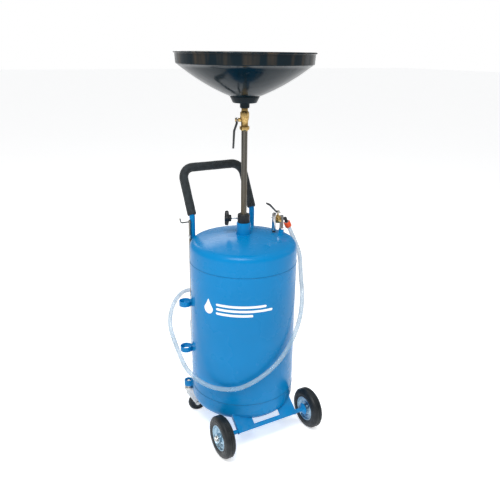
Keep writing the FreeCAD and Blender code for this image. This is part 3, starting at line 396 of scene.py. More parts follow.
def make_finishes(colours):
    """Build one material for each of the record's slots, and the transfer's."""
    FINISHES.update({
        "tank_paint": enamel("blue_enamel", colours.tank),
        "bowl_plastic": gloss_polyethylene("bowl_polyethylene", colours.bowl),
        "black_plastic": moulded_plastic("black_nylon", colours.moulding),
        "black_rubber": rubber("black_rubber", colours.moulding, 0.1),
        "plain_steel": drawn_steel("drawn_steel", colours.steel),
        "zinc_plate": plated("bright_zinc", colours.zinc),
        "rim_zinc": plated("blue_zinc", colours.rim, 0.28, (0.22, 0.36, 0.46)),
        "chrome_fitting": chrome("chrome_plate"),
        "brass_fitting": brass("forged_brass", colours.brass),
        "lever_vinyl": vinyl_dip("lever_vinyl", colours.moulding),
        "collar_plastic": moulded_plastic("orange_plastic", colours.collar, 0.34),
        "clear_hose": clear_vinyl("clear_vinyl", colours.hose),
        "foam_grip": foam("grip_foam", colours.foam),
        "tyre_rubber": rubber("tyre_rubber", colours.tyre, 0.12),
        "nylon": moulded_plastic("natural_nylon", (0.70, 0.68, 0.60), 0.4),
        "mark": transfer("white_transfer", colours.mark),
        # painted shade: the seam beads take the tank's enamel darkened to 0.72, standing in for the shade
        # along the seams
        "seam": enamel("seam_enamel", shade(colours.tank, 0.72)),
    })
    for node, piece in frame["nodes"].items():
        paint(piece, "plain_steel" if node == "discharge_wand" else SLOT_OF[node])


# ---------- mesh helpers


def new_piece(name, mesh):
    piece = bpy.data.objects.new(name, mesh)
    bpy.context.scene.collection.objects.link(piece)
    return piece


def mesh_of(name, points, faces):
    mesh = bpy.data.meshes.new(name)
    mesh.from_pydata([tuple(p) for p in points], [], faces)
    mesh.update()
    return mesh


def baked(piece):
    """Turn a piece and its modifiers into a plain mesh."""
    finished = piece.evaluated_get(bpy.context.evaluated_depsgraph_get())
    mesh = bpy.data.meshes.new_from_object(finished)
    piece.modifiers.clear()
    piece.data = mesh
    return piece


def smooth(piece, angle=38):
    mesh = piece.data
    mesh.shade_smooth()
    mesh.set_sharp_from_angle(angle=radians(angle))
    return piece


def eased(piece, edge, angle=32, segments=2):
    """Round the sharp edges of a piece."""
    if edge > 0:
        bevel = piece.modifiers.new("edge", "BEVEL")
        bevel.width = edge
        bevel.segments = segments
        bevel.limit_method = "ANGLE"
        bevel.angle_limit = radians(angle)
        bevel.use_clamp_overlap = True
        baked(piece)
    return smooth(piece)


def outward(mesh):
    """Merge doubles and point the faces of a closed shape outwards."""
    shape = bmesh.new()
    shape.from_mesh(mesh)
    bmesh.ops.remove_doubles(shape, verts=shape.verts, dist=WELD_DISTANCE)
    bmesh.ops.recalc_face_normals(shape, faces=shape.faces)
    shape.to_mesh(mesh)
    shape.free()
    return mesh


def fit(piece, slot, body, *nodes):
    """Give a piece its finish and body, and hide the CAD nodes that it stands for."""
    paint(piece, slot)
    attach(piece, body)
    slot in SLOT_OF.values()
    if nodes:
        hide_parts(*nodes)
    return piece


def stand_in(piece, *nodes):
    """Fit a piece with the slot and the body of the nodes that it stands for."""
    return fit(piece, SLOT_OF[nodes[0]], BODY_OF[nodes[0]], *nodes)


def cad_copy(node):
    """A copy of a CAD piece's mesh, and its editable form with each flat face in one."""
    mesh = frame["nodes"][node].data.copy()
    shape = bmesh.new()
    shape.from_mesh(mesh)
    bmesh.ops.remove_doubles(shape, verts=shape.verts, dist=WELD_DISTANCE)
    bmesh.ops.dissolve_limit(shape, angle_limit=FLAT_ANGLE, verts=shape.verts, edges=shape.edges)
    return mesh, shape


def skin(node, edge, slot=None):
    """A copy of a CAD piece with eased edges and smooth round faces."""
    mesh, shape = cad_copy(node)
    shape.to_mesh(mesh)
    shape.free()
    if "custom_normal" in mesh.attributes:
        mesh.attributes.remove(mesh.attributes["custom_normal"])
    piece = eased(new_piece(node + "_skin", mesh), edge)
    return fit(piece, slot or SLOT_OF[node], BODY_OF[node], node)


def skins(edge, *nodes):
    """The skins of several CAD pieces with the same easing."""
    for node in nodes:
        skin(node, edge)


def arc(start, end, radius, steps):
    """Points after start along an arc to end; a positive radius turns left."""
    start, end = Vector(start), Vector(end)
    chord = end - start
    across = Vector((-chord.y, chord.x)).normalized()
    rise = sqrt(max(radius * radius - chord.length_squared / 4, 0.0))
    centre = start + chord / 2 + across * math.copysign(rise, radius)
    first = start - centre
    turn = 2 * math.asin(min(1.0, chord.length / (2 * abs(radius)))) * math.copysign(1, radius)
    return [centre + Matrix.Rotation(turn * i / steps, 2) @ first for i in range(1, steps + 1)]


def outline(entries, steps=10):
    """A list of (across, up[, radius]) entries as plain points; the last side closes the loop."""
    points = []
    last = entries[-1][:2]
    for entry in entries:
        if len(entry) == 3:
            points += [tuple(p) for p in arc(last, entry[:2], entry[2], steps)]
        else:
            points.append(tuple(entry))
        last = entry[:2]
    return points


def mirrored(half):
    """One half of a section of (radius, height), followed by its mirror image."""
    return half + [(r, -z) for r, z in reversed(half)]


def quads(rings, steps):
    """The faces between neighbouring rings of points."""
    return [(k * steps + i, k * steps + (i + 1) % steps, (k + 1) * steps + (i + 1) % steps,
             (k + 1) * steps + i) for k in range(rings - 1) for i in range(steps)]


def spun(name, points, turns, place=Matrix.Identity(4)):
    """A closed outline of (radius, height) turned about Z, then put in place by a matrix."""
    corners, faces, rows = [], [], []
    for r, z in points:
        rows.append(len(corners))
        if r < ON_AXIS:
            corners.append(Vector((0, 0, z)))
        else:
            corners += [Vector((r * cos(2 * pi * i / turns), r * sin(2 * pi * i / turns), z))
                        for i in range(turns)]
    for k, (r, _) in enumerate(points):
        following = (k + 1) % len(points)
        here, there = rows[k], rows[following]
        r_next = points[following][0]
        for i in range(turns):
            j = (i + 1) % turns
            if r < ON_AXIS and r_next < ON_AXIS:
                break
            if r < ON_AXIS:
                faces.append((here, there + j, there + i))
            elif r_next < ON_AXIS:
                faces.append((here + i, here + j, there))
            else:
                faces.append((here + i, here + j, there + j, there + i))
    mesh = mesh_of(name, [place @ c for c in corners], faces)
    return new_piece(name, outward(mesh))


def along(point, direction):
    """A matrix whose Z runs along a direction, which isn't upright, through a point."""
    z = Vector(direction).normalized()
    x = UP.cross(z).normalized()
    matrix = Matrix((x, z.cross(x), z)).transposed().to_4x4()
    matrix.translation = Vector(point)
    return matrix


def tube(name, path, radii, turns):
    """A round bar through a list of points, with a radius for each."""
    corners = []
    direction = (path[1] - path[0]).normalized()
    side = direction.orthogonal().normalized()
    for k, point in enumerate(path):
        ahead = path[min(k + 1, len(path) - 1)] - path[max(k - 1, 0)]
        ahead.normalize()
        side = (side - ahead * side.dot(ahead)).normalized()
        other = ahead.cross(side)
        for i in range(turns):
            angle = 2 * pi * i / turns
            corners.append(point + (side * cos(angle) + other * sin(angle)) * radii[k])
    ends = [tuple(range(turns)), tuple(range(len(corners) - turns, len(corners)))]
    faces = quads(len(path), turns) + ends
    return new_piece(name, outward(mesh_of(name, corners, faces)))


def bent(points, radius, step=0.004):
    """Straight runs with round corners, as evenly spaced points."""
    path = [points[0]]
    for before, corner, after in zip(points, points[1:], points[2:]):
        back, ahead = (before - corner).normalized(), (after - corner).normalized()
        turn = pi - back.angle(ahead)
        reach = radius * math.tan(turn / 2)
        centre = corner + (back + ahead).normalized() * (radius / cos(turn / 2))
        enter = corner + back * reach
        axis = (-back).cross(ahead).normalized()
        count = max(4, int(radius * turn / step))
        spin = [Matrix.Rotation(turn * i / count, 3, axis) for i in range(count + 1)]
        path += [centre + matrix @ (enter - centre) for matrix in spin]
    path.append(points[-1])
    even = [path[0]]
    for target in path[1:]:
        gap = target - even[-1]
        count = max(1, round(gap.length / step))
        start = even[-1]
        even += [start + gap * i / count for i in range(1, count + 1)]
    return even


# ---------- geometry nodes


def bead_tree():
    """Overlapping ripples of weld metal along a path."""
    tree = bpy.data.node_groups.new("weld_bead", "GeometryNodeTree")
    for name, kind in (("Path", "Geometry"), ("Pitch", "Float"), ("Radius", "Float")):
        tree.interface.new_socket(name, in_out="INPUT", socket_type="NodeSocket" + kind)
    tree.interface.new_socket("Bead", in_out="OUTPUT", socket_type="NodeSocketGeometry")
    kinds = {
        "given": "NodeGroupInput", "curve": "GeometryNodeMeshToCurve",
        "spaced": "GeometryNodeResampleCurve", "drop": "GeometryNodeMeshIcoSphere",
        "size": "FunctionNodeRandomValue",
        "placed": "GeometryNodeInstanceOnPoints", "real": "GeometryNodeRealizeInstances",
        "round": "GeometryNodeSetShadeSmooth", "result": "NodeGroupOutput",
    }
    made = {name: tree.nodes.new(kind) for name, kind in kinds.items()}
    made["spaced"].mode = "LENGTH"
    made["drop"].inputs["Subdivisions"].default_value = 2
    smallest, largest, seed = 0.86, 1.12, 4
    made["size"].data_type = "FLOAT"
    for key, value in ((2, smallest), (3, largest), ("Seed", seed)):
        made["size"].inputs[key].default_value = value
    joins = [
        (("given", "Path"), ("curve", "Mesh")), (("curve", "Curve"), ("spaced", "Curve")),
        (("given", "Pitch"), ("spaced", "Length")), (("given", "Radius"), ("drop", "Radius")),
        (("spaced", "Curve"), ("placed", "Points")), (("drop", "Mesh"), ("placed", "Instance")),
        (("size", 1), ("placed", "Scale")), (("placed", "Instances"), ("real", "Geometry")),
        (("real", "Geometry"), ("round", "Geometry")), (("round", "Geometry"), ("result", "Bead")),
    ]
    for (source, output), (target, entry) in joins:
        tree.links.new(made[source].outputs[output], made[target].inputs[entry])
    return tree


def grown(piece, tree, **values):
    """Run a node tree on a piece and keep the result as a plain mesh."""
    modifier = piece.modifiers.new(tree.name, "NODES")
    modifier.node_group = tree
    for item in tree.interface.items_tree:
        if item.in_out == "INPUT" and item.name in values:
            modifier[item.identifier] = values[item.name]
    return baked(piece)


def path_piece(name, paths):
    """A piece whose edges are the paths that a bead or a thread follows."""
    points, edges = [], []
    for path in paths:
        start = len(points)
        points += [tuple(p) for p in path]
        edges += [(start + i, start + i + 1) for i in range(len(path) - 1)]
    mesh = bpy.data.meshes.new(name)
    mesh.from_pydata(points, edges, [])
    return new_piece(name, mesh)


# ---------- the tank's form

TANK_WALL = 0.003
HANDLE_LEG_X = 0.133
HANDLE_LEG_Y = 0.170


class DishedEnd:
    """The section of one dished end; way is 1 for the top and -1 for the bottom."""

    def __init__(self, node, way, crown, knuckle):
        self.node, self.way, self.crown, self.knuckle = node, way, crown, knuckle
        self.sine = (TANK_RADIUS - knuckle) / (crown - knuckle)
        self.cosine = sqrt(1 - self.sine ** 2)
        self.dish = crown - (crown - knuckle) * self.cosine
        low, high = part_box(node)
        self.seam = low.z if way > 0 else high.z
        self.apex = high.z if way > 0 else low.z
        self.tangent = self.apex - way * self.dish

    def section(self):
        way, tangent = self.way, self.tangent
        inner_crown, inner_knuckle = self.crown - TANK_WALL, self.knuckle - TANK_WALL
        return outline([
            (TANK_RADIUS, self.seam),
            (TANK_RADIUS, tangent),
            (self.crown * self.sine, tangent + way * self.knuckle * self.cosine, way * self.knuckle),
            (0, self.apex, way * self.crown),
            (0, self.apex - way * TANK_WALL),
            (inner_crown * self.sine, tangent + way * inner_knuckle * self.cosine, -way * inner_crown),
            (TANK_RADIUS - TANK_WALL, tangent, -way * inner_knuckle),
            (TANK_RADIUS - TANK_WALL, self.seam),
        ], 14)

    def height(self, radius):
        """Height of the outside at a distance from the axis."""
        if radius < self.crown * self.sine:
            return self.apex - self.way * (self.crown - sqrt(self.crown ** 2 - radius ** 2))
        inset = radius - (TANK_RADIUS - self.knuckle)
        return self.tangent + self.way * sqrt(max(self.knuckle ** 2 - inset ** 2, 0.0))

    def reach(self, z):
        """Radius of the outside at a height."""
        past = self.way * (z - self.tangent)
        if past <= 0:
            return TANK_RADIUS
        if past < self.knuckle * self.cosine:
            return TANK_RADIUS - self.knuckle + sqrt(self.knuckle ** 2 - past ** 2)
        left = self.dish - past
        return sqrt(max(self.crown ** 2 - (self.crown - left) ** 2, 0.0))


TOP_END = DishedEnd("tank_top_end", 1, 0.800, 0.026)
BOTTOM_END = DishedEnd("tank_bottom_end", -1, 0.406, 0.0406)


def make_tank(shape):
    """The rolled wall and the two dished ends."""
    low, high = TANK_LOW.z, TANK_HIGH.z
    inside = TANK_RADIUS - TANK_WALL
    wall = spun("tank_wall_skin", [(TANK_RADIUS, low), (TANK_RADIUS, high), (inside, high), (inside, low)],
                shape.turns)
    stand_in(smooth(wall), "tank_wall")
    for end in (TOP_END, BOTTOM_END):
        stand_in(smooth(spun(end.node + "_skin", end.section(), shape.turns)), end.node)


def circle(radius, height, centre=(0.0, 0.0), steps=96):
    """A level ring of points; height may be a function of the point's distance from the mast."""
    ring = []
    for i in range(steps + 1):
        x = centre[0] + radius * cos(2 * pi * i / steps)
        y = centre[1] + radius * sin(2 * pi * i / steps)
        ring.append(Vector((x, y, height(sqrt(x * x + y * y)) if callable(height) else height)))
    return ring


def on_side(azimuth, z):
    """The point of the tank's side, or of its lower end, at a bearing and a height."""
    reach = BOTTOM_END.reach(z)
    return Vector((reach * cos(azimuth), reach * sin(azimuth), z))


def upright(azimuth, low, high, steps=8):
    """A line of points up the tank's side."""
    return [on_side(azimuth, low + (high - low) * i / steps) for i in range(steps + 1)]


def crosswise(start, end, z, steps=10):
    """A level line of points round the tank's side."""
    return [on_side(start + (end - start) * i / steps, z) for i in range(steps + 1)]


def foot_paths(azimuth, half_width, low, high):
    """Both sides, the top and the bottom of a foot on the tank's side."""
    half_angle = math.asin(half_width / TANK_RADIUS)
    start, end = azimuth - half_angle, azimuth + half_angle
    return [upright(start, low, high), upright(end, low, high), crosswise(start, end, high),
            crosswise(start, end, low)]


def ring_paths():
    """Where the two holder rings touch the tank."""
    low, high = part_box("holder_rings")
    band = 0.020
    outer = (high.y - low.y) / 2
    middle = Vector((low.x + outer, (low.y + high.y) / 2))
    reach = middle.length
    azimuth = math.atan2(middle.y, middle.x)
    cosine = (reach ** 2 + TANK_RADIUS ** 2 - outer ** 2) / (2 * reach * TANK_RADIUS)
    spread = math.acos(max(-1, min(1, cosine)))
    return [upright(azimuth + side * spread, foot, foot + band)
            for foot in (low.z, high.z - band) for side in (-1, 1)]


def ear_paths():
    """Where the webs of the two caster bosses meet the tank."""
    low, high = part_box("caster_ears")
    half_width = 0.0125
    paths = []
    for azimuth in (radians(147.3), radians(32.7)):
        paths += foot_paths(azimuth, half_width, low.z, high.z)[:3]
    return paths


def strap_paths():
    """Where the feet of the handle straps meet the tank."""
    low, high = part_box("handle_clips")
    height, half_width = 0.026, 0.0113
    paths = []
    for side in (1, -1):
        leg = math.atan2(HANDLE_LEG_Y, side * HANDLE_LEG_X)
        for foot in (low.z, high.z - height):
            paths += foot_paths(leg, half_width, foot, foot + height)
    return paths


def bracket_path():
    """Where the sloping sheet of the axle bracket runs into the tank's lower end."""
    slope = radians(38)
    axle = Vector(((WHEEL_LOW.y + WHEEL_HIGH.y) / 2, (WHEEL_LOW.z + WHEEL_HIGH.z) / 2))
    rise, half_width, longest, margin = 0.011, 0.130, 0.088, 0.0001
    steps, halvings = 40, 24
    points = []
    for i in range(steps + 1):
        x = -half_width + 2 * half_width * i / steps
        near, far = 0.0, longest
        for _ in range(halvings):
            middle = (near + far) / 2
            y = axle.x + middle * cos(slope) - rise * sin(slope)
            z = axle.y + middle * sin(slope) + rise * cos(slope)
            if sqrt(x * x + y * y) > BOTTOM_END.reach(z):
                near = middle
            else:
                far = middle
        if far < longest - margin:
            points.append(Vector((x, y, z)))
    return points


def make_welds(shape):
    """Painted beads along the seams and round everything that is welded on."""
    tree = bead_tree()
    boss_low, boss_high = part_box("head_boss")
    boss = ((boss_low.x + boss_high.x) / 2, (boss_low.y + boss_high.y) / 2)
    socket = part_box("mast_socket")[1].x
    gap = 0.0006
    sunk = TANK_RADIUS - 0.4 * shape.seam_bead
    seams = [circle(sunk, z, steps=180) for z in (TANK_LOW.z, TANK_HIGH.z)]
    boss_radius = (boss_high.x - boss_low.x) / 2
    fittings = [circle(socket + gap, TOP_END.height), circle(boss_radius + gap, TOP_END.height, boss, 48),
                bracket_path(), *ring_paths(), *ear_paths(), *strap_paths()]
    # the seam finish is painted shade: the tank's enamel darkened, not a colour of its own
    for name, paths, radius, finish in (("seam_welds", seams, shape.seam_bead, "seam"),
                                        ("fitting_welds", fittings, shape.fitting_bead, "tank_paint")):
        bead = grown(path_piece(name, paths), tree, Pitch=shape.bead_pitch, Radius=radius)
        paint(bead, finish)
        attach(bead, "cart")


# ---------- the plain mark


def wrapped(points, faces, name, height):
    """Lay a flat shape, drawn in metres, on the tank's front."""
    gap, thickness, middle = 0.00025, 0.0002, radians(-124)
    reach = TANK_RADIUS + gap
    corners = [Vector((reach * cos(middle + x / TANK_RADIUS), reach * sin(middle + x / TANK_RADIUS),
                       height + y)) for x, y in points]
    piece = new_piece(name, mesh_of(name, corners, faces))
    film = piece.modifiers.new("film", "SOLIDIFY")
    film.thickness = thickness
    film.offset = 1.0
    return smooth(baked(piece))


def strip_shape(length, width, x, y, steps=48):
    """A bar with round ends, as a strip of quads that can follow the tank's curve."""
    points, faces = [], []
    half, radius = length / 2, width / 2
    for i in range(steps + 1):
        u = -half + length * i / steps
        inset = max(0.0, abs(u) - (half - radius))
        tall = sqrt(max(radius ** 2 - inset ** 2, 1e-9))
        points += [(x + u, y - tall), (x + u, y + tall)]
        if i:
            k = 2 * i
            faces.append((k - 2, k, k + 1, k - 1))
    return points, faces


def drop_shape(radius, x, y, steps=40):
    """A falling drop: round below and pointed above."""
    points, faces = [(x, y)], []
    for i in range(steps):
        angle = 2 * pi * i / steps - pi / 2
        stretch = 1 + 0.9 * max(0.0, sin(angle)) ** 3
        pinch = 1 - 0.55 * max(0.0, sin(angle)) ** 2
        points.append((x + radius * cos(angle) * pinch, y + radius * sin(angle) * stretch))
        faces.append((0, i + 1, (i + 1) % steps + 1))
    return points, faces


def make_mark(shape):
    """A generic white transfer: a drop and three plain bars."""
    bar = 0.009
    pieces = {
        "mark_drop": drop_shape(0.020, -0.118, -0.006),
        "mark_bar_top": strip_shape(0.190, bar, 0.010, 0.017),
        "mark_bar_middle": strip_shape(0.215, bar, 0.0225, 0.0),
        "mark_bar_low": strip_shape(0.140, bar, -0.015, -0.017),
    }
    for name, (points, faces) in pieces.items():
        fit(wrapped(points, faces, name, shape.mark_height), "mark", "cart")


# ---------- bowl


def make_bowl(shape):
    """The blow-moulded bowl with its straight rim wall and rolled lip."""
    lip, lip_reach, wall, rim_height = BOWL_HIGH.x, 0.007, 0.003, 0.038
    side = lip - lip_reach
    seat, top = BOWL_LOW.z, BOWL_HIGH.z
    wall_foot = top - rim_height
    seat_radius, bore, sweep = 0.053, 0.0165, 0.700
    section = outline([
        (bore, seat),
        (seat_radius, seat),
        (side - 0.004, wall_foot - 0.0025, sweep),
        (side, wall_foot + 0.0015, 0.004),
        (side + 0.002, top - 0.008),
        (side + 0.004, top - 0.0055, -0.003),
        (lip - 0.002, top - 0.0055),
        (lip, top - 0.0028, 0.0028),
        (lip - 0.0028, top, 0.0028),
        (side + 0.002, top),
        (side - wall, top - 0.003, 0.004),
        (side - wall, wall_foot + 0.001),
        (side - wall - 0.004, wall_foot - 0.0015, -0.005),
        (seat_radius, seat + wall, -sweep),
        (bore, seat + wall),
    ], 12)
    stand_in(smooth(spun("drain_bowl_skin", section, shape.turns + 48), 50), "drain_bowl")
    skins(2 * shape.edge, "bowl_neck", "bowl_lock_nut")
    skin("strainer", 0.0002)


# ---------- hose

HOSE_POINTS = [
    (0.1796, -0.0205, 0.8185), (0.1985, -0.0226, 0.7777), (0.2275, -0.0157, 0.7272),
    (0.2415, -0.0333, 0.6756), (0.228, -0.061, 0.605), (0.209, -0.109, 0.527),
    (0.161, -0.162, 0.453), (0.089, -0.204, 0.387), (0.009, -0.224, 0.327),
    (-0.080, -0.208, 0.275), (-0.139, -0.173, 0.247), (-0.207, -0.104, 0.245),
    (-0.257, -0.026, 0.284), (-0.267, 0.041, 0.356), (-0.273, 0.103, 0.432),
    (-0.232, 0.153, 0.494), (-0.164, 0.199, 0.519), (-0.086, 0.232, 0.486),
    (-0.020, 0.250, 0.410), (0.020, 0.252, 0.325), (0.033, 0.251, 0.240),
    (0.024, 0.246, 0.170), (-0.020, 0.232, 0.124), (-0.082, 0.211, 0.122),
    (-0.126, 0.183, 0.166), (-0.142, 0.166, 0.236), (-0.1475, 0.160, 0.318),
    (-0.1495, 0.158, 0.396),
]


def route_curve(name, points):
    """One smooth line through the hose's control points."""
    curve = bpy.data.curves.new(name, "CURVE")
    curve.dimensions = "3D"
    spline = curve.splines.new("NURBS")
    spline.points.add(len(points) - 1)
    for target, point in zip(spline.points, points):
        target.co = (*point, 1.0)
    spline.order_u = 3
    spline.use_endpoint_u = True
    curve.resolution_u = 10
    return curve


def make_hose(shape):
    """The clear hose from the outlet elbow round the tank to the foot of the wand."""
    curve = route_curve("discharge_hose_line", HOSE_POINTS)
    curve.bevel_depth = shape.hose_radius
    curve.bevel_resolution = 6
    curve.use_fill_caps = True
    hose = stand_in(new_piece("discharge_hose_skin", curve), "discharge_hose")
    collar = skin("hose_collar", 2.5 * shape.edge)


# ---------- handle


def make_handle(shape):
    """The bent tube with its foam sleeve."""
    skin("handle_tube", 0.0003)
    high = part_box("handle_grip")[1]
    tube_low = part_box("handle_tube")[0]
    radius, tube_radius, corner_radius, step, crown = 0.01775, 0.011, 0.046, 0.0025, 0.005
    half = -tube_low.x - tube_radius
    bar = Vector((half, high.y - radius, high.z - radius))
    bend = Vector((half, HANDLE_LEG_Y, 0.834))
    lean = (bar - bend).normalized()
    start = bend + lean * 0.004
    corners = [Vector((-start.x, start.y, start.z)), Vector((-bar.x, bar.y, bar.z)), bar, start]
    path = bent(corners, corner_radius, step)
    radii = []
    for i, point in enumerate(path):
        from_end = min(i, len(path) - 1 - i) * step
        crowned = radius * (1 - 0.10 * max(0.0, 1 - from_end / crown) ** 2)
        swell = 0.00035 * noise.noise(point * 55) + 0.0002 * noise.noise(point * 190)
        radii.append(min(radius, crowned - 0.0003 + swell))
    grip = stand_in(smooth(tube("handle_grip_skin", path, radii, 40), 60), "handle_grip")
    skins(shape.edge, "handle_clips", "wand_clips")


# ---------- mast, socket, clamp


def make_knob(shape):
    """The five-lobed knob with rounded edges and a pressed cap."""
    azimuth, foot_reach = radians(150), 0.046
    low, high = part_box("clamp_knob")
    away = Vector((cos(azimuth), sin(azimuth), 0))
    place = along(Vector((0, 0, (low.z + high.z) / 2)) + away * foot_reach, away)
    lobes, steps, radius = 5, 100, 0.0285
    profile = [(0.0, 0.0), (0.0, 0.45), (0.0086, 0.45), (0.009, 0.66), (0.0102, 0.93), (0.0125, 1.0),
               (0.0205, 1.0), (0.0232, 0.94), (0.0246, 0.80), (0.0250, 0.52), (0.0243, 0.50), (0.0243, 0.0)]
    corners = []
    for x, share in profile:
        for i in range(steps):
            angle = 2 * pi * i / steps
            wave = 0.5 + 0.5 * cos(lobes * angle)
            lobed = radius * (0.70 + 0.30 * wave ** 0.7)
            plain = radius * share
            grip = max(0.0, min(1.0, (share - 0.55) / 0.2))
            r = plain * (1 - grip) + lobed * share * grip
            corners.append(place @ Vector((r * sin(angle), r * cos(angle), x)))
    mesh = mesh_of("clamp_knob_skin", corners, quads(len(profile), steps))
    knob = new_piece("clamp_knob_skin", outward(mesh))
    stand_in(eased(knob, 0.0005), "clamp_knob")
    skin("clamp_screw", 0.0003)


def make_mast(shape):
    """The sliding mast, its socket and the clamp's collar."""
    skin("mast_tube", 0.0003)
    skin("mast_socket", 1.5 * shape.edge)
    skin("clamp_collar", 2 * shape.edge)


# ---------- valves and head


def lever_sleeve(node, name, start, direction, inflate):
    """The dipped sleeve over the outer stretch of a lever."""
    mesh, shape = cad_copy(node)
    everything = shape.verts[:] + shape.edges[:] + shape.faces[:]
    cut = bmesh.ops.bisect_plane(
        shape, geom=everything, plane_co=start, plane_no=direction, clear_inner=True)
    rim = [item for item in cut["geom_cut"] if isinstance(item, bmesh.types.BMEdge)]
    bmesh.ops.holes_fill(shape, edges=rim, sides=0)
    bmesh.ops.recalc_face_normals(shape, faces=shape.faces)
    shape.to_mesh(mesh)
    shape.free()
    sleeve = new_piece(name, mesh)
    swell = sleeve.modifiers.new("swell", "DISPLACE")
    swell.strength = inflate
    swell.mid_level = 0.0
    return fit(eased(baked(sleeve), 0.0016, 25, 4), "lever_vinyl", BODY_OF[node])


def make_valves(shape):
    """Both ball valves with their plated levers and dipped sleeves."""
    skins(shape.edge, "drain_valve_body", "air_valve_body")
    skins(0.0004, "drain_valve_nut", "air_valve_nut", "drain_valve_stem", "air_valve_stem")
    for node in ("drain_valve_lever", "air_valve_lever"):
        skin(node, 0.0007, "zinc_plate")
    drain_bare, air_bare = 0.007, 0.009
    low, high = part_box("drain_valve_stem")
    start = Vector((0, 0, (low.z + high.z) / 2 - drain_bare))
    lever_sleeve("drain_valve_lever", "drain_lever_sleeve", start, -UP, inflate=0.0034)
    low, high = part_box("air_valve_nut")
    azimuth = radians(-6.5)
    away = Vector((-cos(azimuth), -sin(azimuth), 0))
    hub = Vector(((low.x + high.x) / 2, (low.y + high.y) / 2, 0))
    lever_sleeve("air_valve_lever", "air_lever_sleeve", hub + away * air_bare, away, inflate=0.0030)


def make_head(shape):
    """The plated column, the coupler with its cap, and the elbow."""
    skins(shape.edge, "head_boss", "head_column", "air_coupler")
    skins(1.3 * shape.edge, "coupler_cap", "outlet_elbow")


# ---------- wheels

RIM_RADIUS = 0.047


def tyre_section(rim, radius, half):
    """A round-shouldered tyre with three tread grooves and two sidewall ribs."""
    groove, depth = 0.0016, 0.0016
    tread = []
    for z in (-0.0085, 0.0, 0.0085):
        tread += [(radius, z - groove), (radius - depth, z - 0.5 * groove),
                  (radius - depth, z + 0.5 * groove), (radius, z + groove)]
    near = outline([
        (rim, -half + 0.005),
        (rim + 0.004, -half + 0.0005, 0.006),
        (rim + 0.006, -half),
        (rim + 0.0075, -half + 0.0012),
        (rim + 0.0095, -half + 0.0002),
        (radius - 0.014, -half),
        (radius - 0.0125, -half + 0.0012),
        (radius - 0.011, -half + 0.0006),
        (radius, -half + 0.013, 0.016),
    ], 7)
    return near + tread + mirrored(near)[len(near):]


def rim_section(bore, rim, half, hub, hub_half):
    """A pressed disc: rolled flange, dished face with one swage, and a plain hub."""
    flange = half - 0.005
    return mirrored(outline([
        (rim + 0.0015, flange + 0.0010),
        (rim, flange + 0.0026, 0.0018),
        (rim - 0.0030, flange + 0.0010, 0.0030),
        (rim - 0.0062, flange - 0.0060, -0.012),
        (rim - 0.0090, 0.0085, 0.012),
        (rim - 0.0120, 0.0070, -0.004),
        (hub + 0.0120, 0.0075),
        (hub + 0.0085, 0.0095, -0.008),
        (hub + 0.0045, 0.0100, 0.008),
        (hub + 0.0015, 0.0090, 0.006),
        (hub, 0.0105, -0.003),
        (hub, hub_half - 0.001),
        (hub - 0.001, hub_half, 0.001),
        (bore, hub_half),
    ], 6))


def make_wheels(shape):
    """Front wheels: rubber tyres on pressed rims, with the axle's end pieces."""
    radius = (WHEEL_HIGH.z - WHEEL_LOW.z) / 2
    half = (WHEEL_HIGH.x - WHEEL_LOW.x) / 2
    tyre_profile = tyre_section(RIM_RADIUS, radius, half)
    rim_profile = rim_section(bore=0.00605, rim=RIM_RADIUS, half=half, hub=0.017, hub_half=0.022)
    for label in ("left", "right"):
        low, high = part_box("front_tyre_" + label)
        place = along((low + high) / 2, (1, 0, 0))
        tyre = spun(f"front_tyre_{label}_skin", tyre_profile, shape.turns, place)
        stand_in(smooth(tyre, 50), "front_tyre_" + label)
        disc = spun(f"front_rim_{label}_skin", rim_profile, 96, place)
        stand_in(smooth(disc, 50), "front_rim_" + label)
    skin("axle_tube", 0.0004)
    skin("axle_bracket", 0.0008)
    skin("front_axle", 0.0009)
    skins(0.0004, "axle_washers", "axle_nuts")


def caster_section(bore, radius, half):
    """A caster wheel: rubber tread bonded to a plain disc."""
    hub = 0.009
    return mirrored(outline([
        (bore, -half - 0.001),
        (hub, -half - 0.001),
        (hub, -half + 0.003),
        (radius - 0.013, -half + 0.003),
        (radius - 0.0115, -half + 0.001, -0.002),
        (radius - 0.009, -half, 0.004),
        (radius, -half + 0.009, 0.011),
    ], 6))


def make_casters(shape):
    """Rear casters: plated forks and rubber wheels."""
    sideways, backwards = 0.2419, 0.9703
    profile = caster_section(bore=0.00405, radius=0.0375, half=0.012)
    for label, side in (("left", 1), ("right", -1)):
        low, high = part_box("caster_wheel_" + label)
        place = along((low + high) / 2, (side * sideways, backwards, 0))
        wheel = spun(f"caster_wheel_{label}_skin", profile, 72, place)
        stand_in(smooth(wheel, 50), "caster_wheel_" + label)
        skin("caster_fork_" + label, 0.0005)
        skin("caster_kingpin_" + label, 0.0004)
        skin("caster_bolt_" + label, 0.0004)
    skin("caster_ears", 0.0009)
    skin("caster_nuts", 0.0004)
    skin("holder_rings", 0.0005)


# ---------- stage

LAMPS = {  # each lamp's place, the height it looks at, its two sides and its watts
    "key": ((-1.25, -1.35, 3.5), 0.75, (1.5, 0.9), 56),
    "strip": ((-1.25, -1.75, 3.0), 0.75, (2.6, 0.18), 34),
    "overhead": ((0.2, 0.3, 4.2), 0.8, (2.4, 2.4), 26),
    "right_edge": ((2.6, -0.2, 1.9), 0.7, (0.6, 2.0), 3),
    "back_rim": ((0.6, 3.0, 2.4), 0.9, (1.8, 1.2), 20),
}


